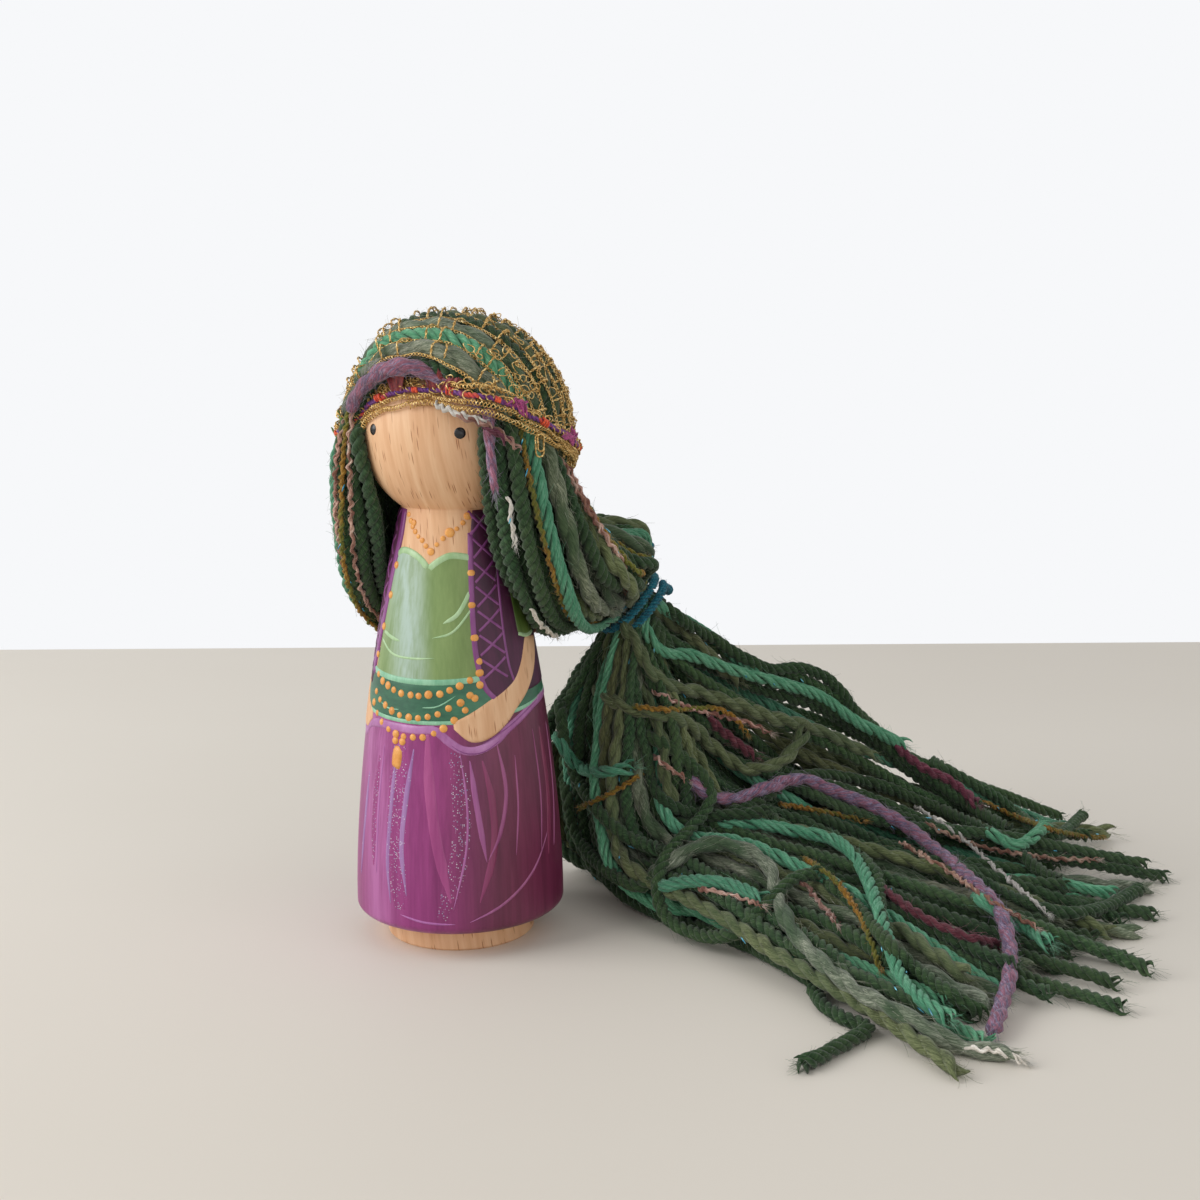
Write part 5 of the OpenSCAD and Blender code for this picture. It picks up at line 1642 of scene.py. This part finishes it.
def makeNet():
    dice = np.random.default_rng(77)
    net = {"grooveLift": 0.75, "rowLift": 1.75, "chain": 0.54, "thread": 0.18, "pitch": 2.0, "closeFrom": 6,
           "rungStep": 30.0, "pairGap": 2.6, "rungHigh": 2.0, "rungTwist": 0.13, "rungThread": 0.105,
           "curls": 300, "curlThread": 0.1}
    overRows, grooves, rungs = TubeBatch(5), TubeBatch(5), TubeBatch(5)
    for k in np.arange(0.5, wig["rows"] - 1, 0.5):
        over = k == int(k)
        r = crownR + net["rowLift" if over else "grooveLift"]
        end = rowCircle(k, r)[4]
        # over the strands themselves only at the sides and the back, where the net is close
        spans = [(-end, end)]
        if over and k <= net["closeFrom"]:
            spans = [(-end, -end * 0.62), (end * (0.75 - 0.06 * k), end)]
        for first, last in spans:
            count = max(12, int(80 * (last - first) / (2 * end)))
            route = rowRoute(k, r, first, last, count)
            wander = (0.75 if over else 0.45) * drift(dice, count, max(4, int(count / 6)))
            aside = unit(np.cross(np.gradient(route, axis=0), route - headCentre))
            plait(overRows if over else grooves, route + aside * wander[:, None], net["chain"], net["thread"],
                  net["pitch"], headCentre, dice)
    for k in range(1, wig["rows"] - 1):
        radius, end = rowCircle(k, crownR)[3:]
        step = net["rungStep"] * (1.0 if k < net["closeFrom"] else 0.5)
        groove = crownR + net["grooveLift"]
        for a in np.arange(-end * 0.95, end * 0.95, step) + dice.uniform(-9, 9):
            for turn in (-0.5, 0.5):
                away = a + (math.degrees(turn * net["pairGap"] / radius) + dice.uniform(-1.5, 1.5))
                base = rowPoint(k, crownR, away)
                before = rowPoint(k - 0.5, groove, away)
                after = rowRoute(k + 0.5, groove, away + dice.uniform(-4, 4), away, 1)[0]
                lift = unit(base - headCentre)
                over = base + lift * net["rungHigh"]
                line = throughPoints([before, before + (over - before) * 0.62 + lift * 0.5, over,
                                      after + (over - after) * 0.62 + lift * 0.5, after], 18)
                twistedThread(rungs, line, np.linspace(0, 5 * math.pi, 18), net["rungTwist"],
                              net["rungThread"])
    # loose curls, close together towards the back and the doll's left
    for _ in range(net["curls"]):
        k = dice.uniform(1.5, wig["rows"] - 1.2)
        r = crownR + 1.7 + dice.uniform(0, 0.5)
        share = dice.uniform(-1, 1)
        if k < net["closeFrom"] and -0.6 < share < 0.35:
            continue
        base = rowPoint(k, r, share * rowCircle(k, r)[4])
        out = unit(base - headCentre)
        along = unit(np.cross(out, dice.normal(0, 1, 3)))
        curl(rungs, base, out, along, dice.uniform(0.6, 1.3), dice.uniform(0, 0.5), net["curlThread"], dice)
    overRows.piece("netRows", "gold_thread", gold, ("net_rows",))
    grooves.piece("netGrooves", "gold_thread", gold, ("net_rows",))
    rungs.piece("netRungs", "gold_thread", gold, ("net_rungs",))


makeNet()


# The trim: how high over the middle of the head it runs, and how far out, at angles seen from above.
# It lies on the wood at the brow and over the yarn elsewhere.
trim = {"angles": (-180, -140, -111, -76, -60, -45, -39, -24, -5, 10, 24, 38, 45, 56, 63, 76, 111, 140, 180),
        "heights": (-15, -12, -8, -4.5, -2, 0.3, 2.6, 4.4, 5.6, 5.9, 5.6, 4.9, 4.3, 2.6, 0.9, -1.5, -6.2, -11,
                    -15),
        "onWood": 17.2, "overYarn": 23.4, "leftClimb": (14, 40), "rightClimb": (-40, -66)}


# Points of the trim; rise goes up over the head from its lower edge, lift out from the surface
def trimPoint(angle, lift, rise):
    angle = np.atleast_1d(np.asarray(angle, float))
    angle = (angle + 180) % 360 - 180
    height = np.interp(angle, trim["angles"], trim["heights"])
    left, right = (ease((angle - low) / (high - low))
                   for low, high in (trim["leftClimb"], trim["rightClimb"]))
    r = trim["onWood"] + (trim["overYarn"] - trim["onWood"]) * np.where(angle > 0, left, right) + lift
    up = np.arcsin(height / r) + rise / r
    a = np.radians(angle)
    way = np.stack([np.cos(up) * np.sin(a), -np.cos(up) * np.cos(a), np.sin(up)], 1)
    return hug(headCentre + r[:, None] * way)


# Material of something coloured along its length, from its own two tones
def makeStripeMaterial(name, first, second, third, patch):
    material, tree, shader = newMaterial(name, Roughness=0.5, Specular_IOR_Level=0.4, Sheen_Weight=0.2)
    where = ramp(tree, noise(tree, attribute(tree, "run"), patch, 0.5),
                 [(0.4, first), (0.47, second), (0.53, second), (0.6, third)])
    thread = noise(tree, objectPlace(tree), 3800.0, 2.0)
    light = ramp(tree, thread, [(0.35, grey(0.6)), (0.65, grey(1.25))])
    plug(tree, shader["Base Color"], mixColour(tree, 1.0, where, light, "MULTIPLY"))
    addBump(tree, shader, thread, 0.6, 0.08)
    return material


# Scraps of ribbon on the cord. Each place is an angle and a rise along the trim, the width at the foot and
# the top, the length, how far it leans out, and how far it swings sideways.
ribbons = {
    "browRibbons": {"material": "browRibbon", "slot": "brow_cloth", "nodes": ("brow_tabs",), "patch": 1.6,
                    "tones": (srgb(120, 30, 40), srgb(138, 50, 42), srgb(104, 22, 36)),
                    "places": [(-10, 2.9, 2.4, 4.6, 3.7, 0.5, 0.0), (17, 2.9, 3.2, 3.6, 3.3, 0.5, -0.35),
                               (25, 2.7, 3.0, 2.6, 2.6, 0.3, 0.3)]},
    "pinkRibbons": {"material": "pinkRibbon", "slot": "side_cloth", "nodes": ("side_tabs",), "patch": 1.1,
                    "tones": (srgb(158, 52, 112), srgb(186, 84, 142), srgb(124, 36, 88)),
                    "places": [(52, 2.3, 1.8, 2.6, 2.6, 0.2, 0.9), (58, 1.6, 1.8, 2.6, 2.6, 0.2, -0.9),
                               (82, 1.6, 1.8, 2.6, 2.6, 0.2, 1.0), (90, 1.4, 1.8, 2.6, 2.6, 0.2, -0.7)]},
    "greenRibbons": {"material": "greenRibbon", "slot": "side_cloth", "nodes": (), "patch": 1.1,
                     "tones": (srgb(84, 116, 30), srgb(112, 146, 44), srgb(66, 94, 26)),
                     "places": [(-54, 1.6, 1.8, 2.5, 2.5, 0.3, -0.8), (-57, 3.0, 1.8, 2.5, 2.5, 0.3, 0.8),
                                (-72, 1.4, 1.8, 2.5, 2.5, 0.3, 0.9)]},
}


# A scrap of ribbon that stands up from the cord and widens: many fine fibres side by side
def ribbonShape(columns, rows, dice, angle, rise, foot, top, length, outward, swing):
    base = trimPoint(angle, 1.0, rise)[0]
    out = unit(base - headCentre)
    up = unit(hemNormal - (hemNormal @ out) * out)
    across = np.cross(up, out)
    lean = unit(up + out * outward + across * swing)
    x = np.linspace(-1, 1, columns)[None]
    y = np.linspace(0, 1, rows)[:, None]
    wide = foot + (top - foot) * y
    tall = length * (1 + 0.12 * dice.uniform(-1, 1, columns))[None]
    ripple = 0.16 * np.sin(x * 7 + y * 2 + dice.uniform(0, 6)) + 0.3 * y * y * np.sin(x * 2.4)
    grid = base + (x * wide / 2)[..., None] * across + (y * tall)[..., None] * lean + ripple[..., None] * out
    lane = np.zeros((rows, columns, 3))
    lane[..., 0] = x * 4 + angle
    lane[..., 1] = y * 0.8 + angle
    return [grid.reshape(-1, 3), (grid - 0.16 * out).reshape(-1, 3)], [lane.reshape(-1, 3)] * 2


def makeCord():
    dice = np.random.default_rng(91)
    cord = {"from": -62, "to": 108, "rise": 2.6, "lift": 0.5, "strand": 0.95, "pitch": 1.7,
            "knotThread": 0.22,
            "knots": {-25: 0.55, 3: 0.36, 26: 0.55, 47: 0.36, 70: 0.55, -65: 0.36, 108: 0.36}}
    wrapped = makeStripeMaterial("wrappedCord", srgb(92, 40, 140), srgb(112, 52, 128), srgb(206, 70, 52),
                                 0.22)
    batch = TubeBatch(6)
    turn = np.linspace(cord["from"], cord["to"], 500)
    line = trimPoint(turn, cord["lift"], cord["rise"] + 0.3 * drift(dice, 500, 14))
    side, up = routeFrames(line)[1:]
    run = np.linspace(0, lengthOf(line), 500)
    for ply in range(2):
        a = 2 * math.pi * run / cord["pitch"] + math.pi * ply
        centre = line + 0.24 * (np.cos(a)[:, None] * side + np.sin(a)[:, None] * up)
        batch.thread(centre, cord["strand"] / 2 * 0.62, run=np.stack([run, 0 * run + ply * 9, 0 * run], 1))
    # the rest of the way round it is only a dark thread below the net
    rest = trimPoint(np.linspace(106, 300, 200), 0.3, cord["rise"])
    batch.thread(rest, 0.35, run=np.stack([np.linspace(0, 60, 200), np.full(200, 3.0), np.zeros(200)], 1))
    batch.piece("hemCord", "wrapped_cord", wrapped, ("hem_cord",))
    # knots: a few tight turns of orange thread, with a short end
    orange = makeStripeMaterial("orangeThread", srgb(222, 72, 40), srgb(238, 92, 52), srgb(206, 56, 40), 0.5)
    knots = TubeBatch(6)
    s = np.linspace(0, 1, 40)
    spin = 2 * math.pi * 3 * s
    for a, big in cord["knots"].items():
        base = trimPoint(a, 0.75, cord["rise"] + 0.1)[0]
        out = unit(base - headCentre)
        across = unit(np.cross(hemNormal, out))
        over = np.cross(out, across)
        ball = base + (big * np.cos(spin))[:, None] * over + (big * np.sin(spin))[:, None] * out
        ball = ball + ((s - 0.5) * 1.5 * big / 0.5)[:, None] * across
        ball[-5:] += np.linspace(0, 1.0, 5)[:, None] * (across + over * dice.uniform(-0.6, 0.6))
        knots.thread(ball, cord["knotThread"], run=np.stack([s * 9 + a, 0 * s, 0 * s], 1))
    knots.piece("cordKnots", "orange_thread", orange, ("cord_knots",))


def makeTabs():
    dice = np.random.default_rng(95)
    columns, rows = 22, 9
    for name, look in ribbons.items():
        points, faces, layers = [], [], []
        for number, place in enumerate(look["places"]):
            sheets, lanes = ribbonShape(columns, rows, dice, *place)
            points += sheets
            layers += lanes
            faces.append(gridFaces(rows, columns) + 2 * rows * columns * number)
        material = makeStripeMaterial(look["material"], *look["tones"], look["patch"])
        meshPiece(name, np.concatenate(points), np.concatenate(faces), material, look["nodes"],
                  {"run": np.concatenate(layers)})


def makeDropLoop():
    loops = {"angle": 66, "lift": 0.9, "sizes": ((4.0, 2.3), (3.0, 1.7)), "apart": 0.3, "twist": 0.1,
             "thread": 0.1}
    batch = TubeBatch(6)
    top = trimPoint(loops["angle"], loops["lift"], 0.0)[0]
    out = unit(top - headCentre)
    down = unit(np.array([0, 0, -1.0]) + out * out[2])
    across = np.cross(out, down)
    s = np.linspace(0, 2 * math.pi, 40)
    for turn, (long, wide) in enumerate(loops["sizes"]):
        loop = top + (long / 2 * (1 - np.cos(s)))[:, None] * down + (wide / 2 * np.sin(s))[:, None] * across
        loop = loop + out * (loops["apart"] * turn + 0.2 * np.sin(3 * s))[:, None]
        twistedThread(batch, loop, 9 * s, loops["twist"], loops["thread"])
    batch.piece("dropLoop", "gold_thread", gold, ("drop_loop",))


# Two crinkled strands that come out below the trim over the doll's left eye, and a tuft beside them
def makeBrowStrands():
    angles = np.linspace(16, 57, 40)
    rise = np.interp(angles, (16, 22, 29, 36, 44, 57), (0.1, -0.5, -1.0, -1.6, -2.2, -4.6))
    for name, kind, first, last, lift, lower, radius, seed in (
            ("browPale", "pale", 0, 26, 0.5, 0.0, 0.62, 501),
            ("browPink", "pink", 12, 40, 0.7, 0.4, 0.6, 502),
            ("browTuft", "wine", 22, 34, 0.8, 1.0, np.linspace(0.5, 0.9, 12), 503)):
        route = trimPoint(angles[first:last], lift, rise[first:last] - lower)
        yarnPieces(name, [strandOf(route, radius, kind, True)], (), seed)


def makeTrim():
    dice = np.random.default_rng(88)
    chains = TubeBatch(5)
    for rise, width in ((0.1, 1.05), (1.5, 1.0)):
        wander = 0.4 * drift(dice, 300, 60)
        line = trimPoint(np.linspace(0, 360, 300), 0.45, rise + wander)
        plait(chains, line, width, 0.2, 2.0, headCentre, dice)
    # loops and curls that stand off the chains, between them and the first strand
    for a in np.arange(-178, 178, 1.9):
        highest = 5.6 if abs(a) < 48 else 3.6
        base = trimPoint(a + dice.uniform(-2, 2), 0.5 + dice.uniform(0, 0.5), dice.uniform(2.2, highest))[0]
        out = unit(base - headCentre)
        along = unit(np.cross(hemNormal, out) + 0.5 * dice.normal(0, 1, 3) * 0.6)
        along = unit(along - (along @ out) * out)
        curl(chains, base, out, along, dice.uniform(0.5, 1.1), dice.uniform(0, 0.6), 0.12, dice)
    # a looser chain over the cord, up to the first strand
    line = trimPoint(np.linspace(-52, 60, 110), 0.6, 4.6 + 0.6 * drift(dice, 110, 12))
    plait(chains, line, 0.8, 0.22, 2.1, headCentre, dice)
    chains.piece("hemChains", "gold_thread", gold, ("hem_chains",))


makeTrim()
makeCord()
makeTabs()
makeDropLoop()
makeBrowStrands()
print("scarf")


print("done")
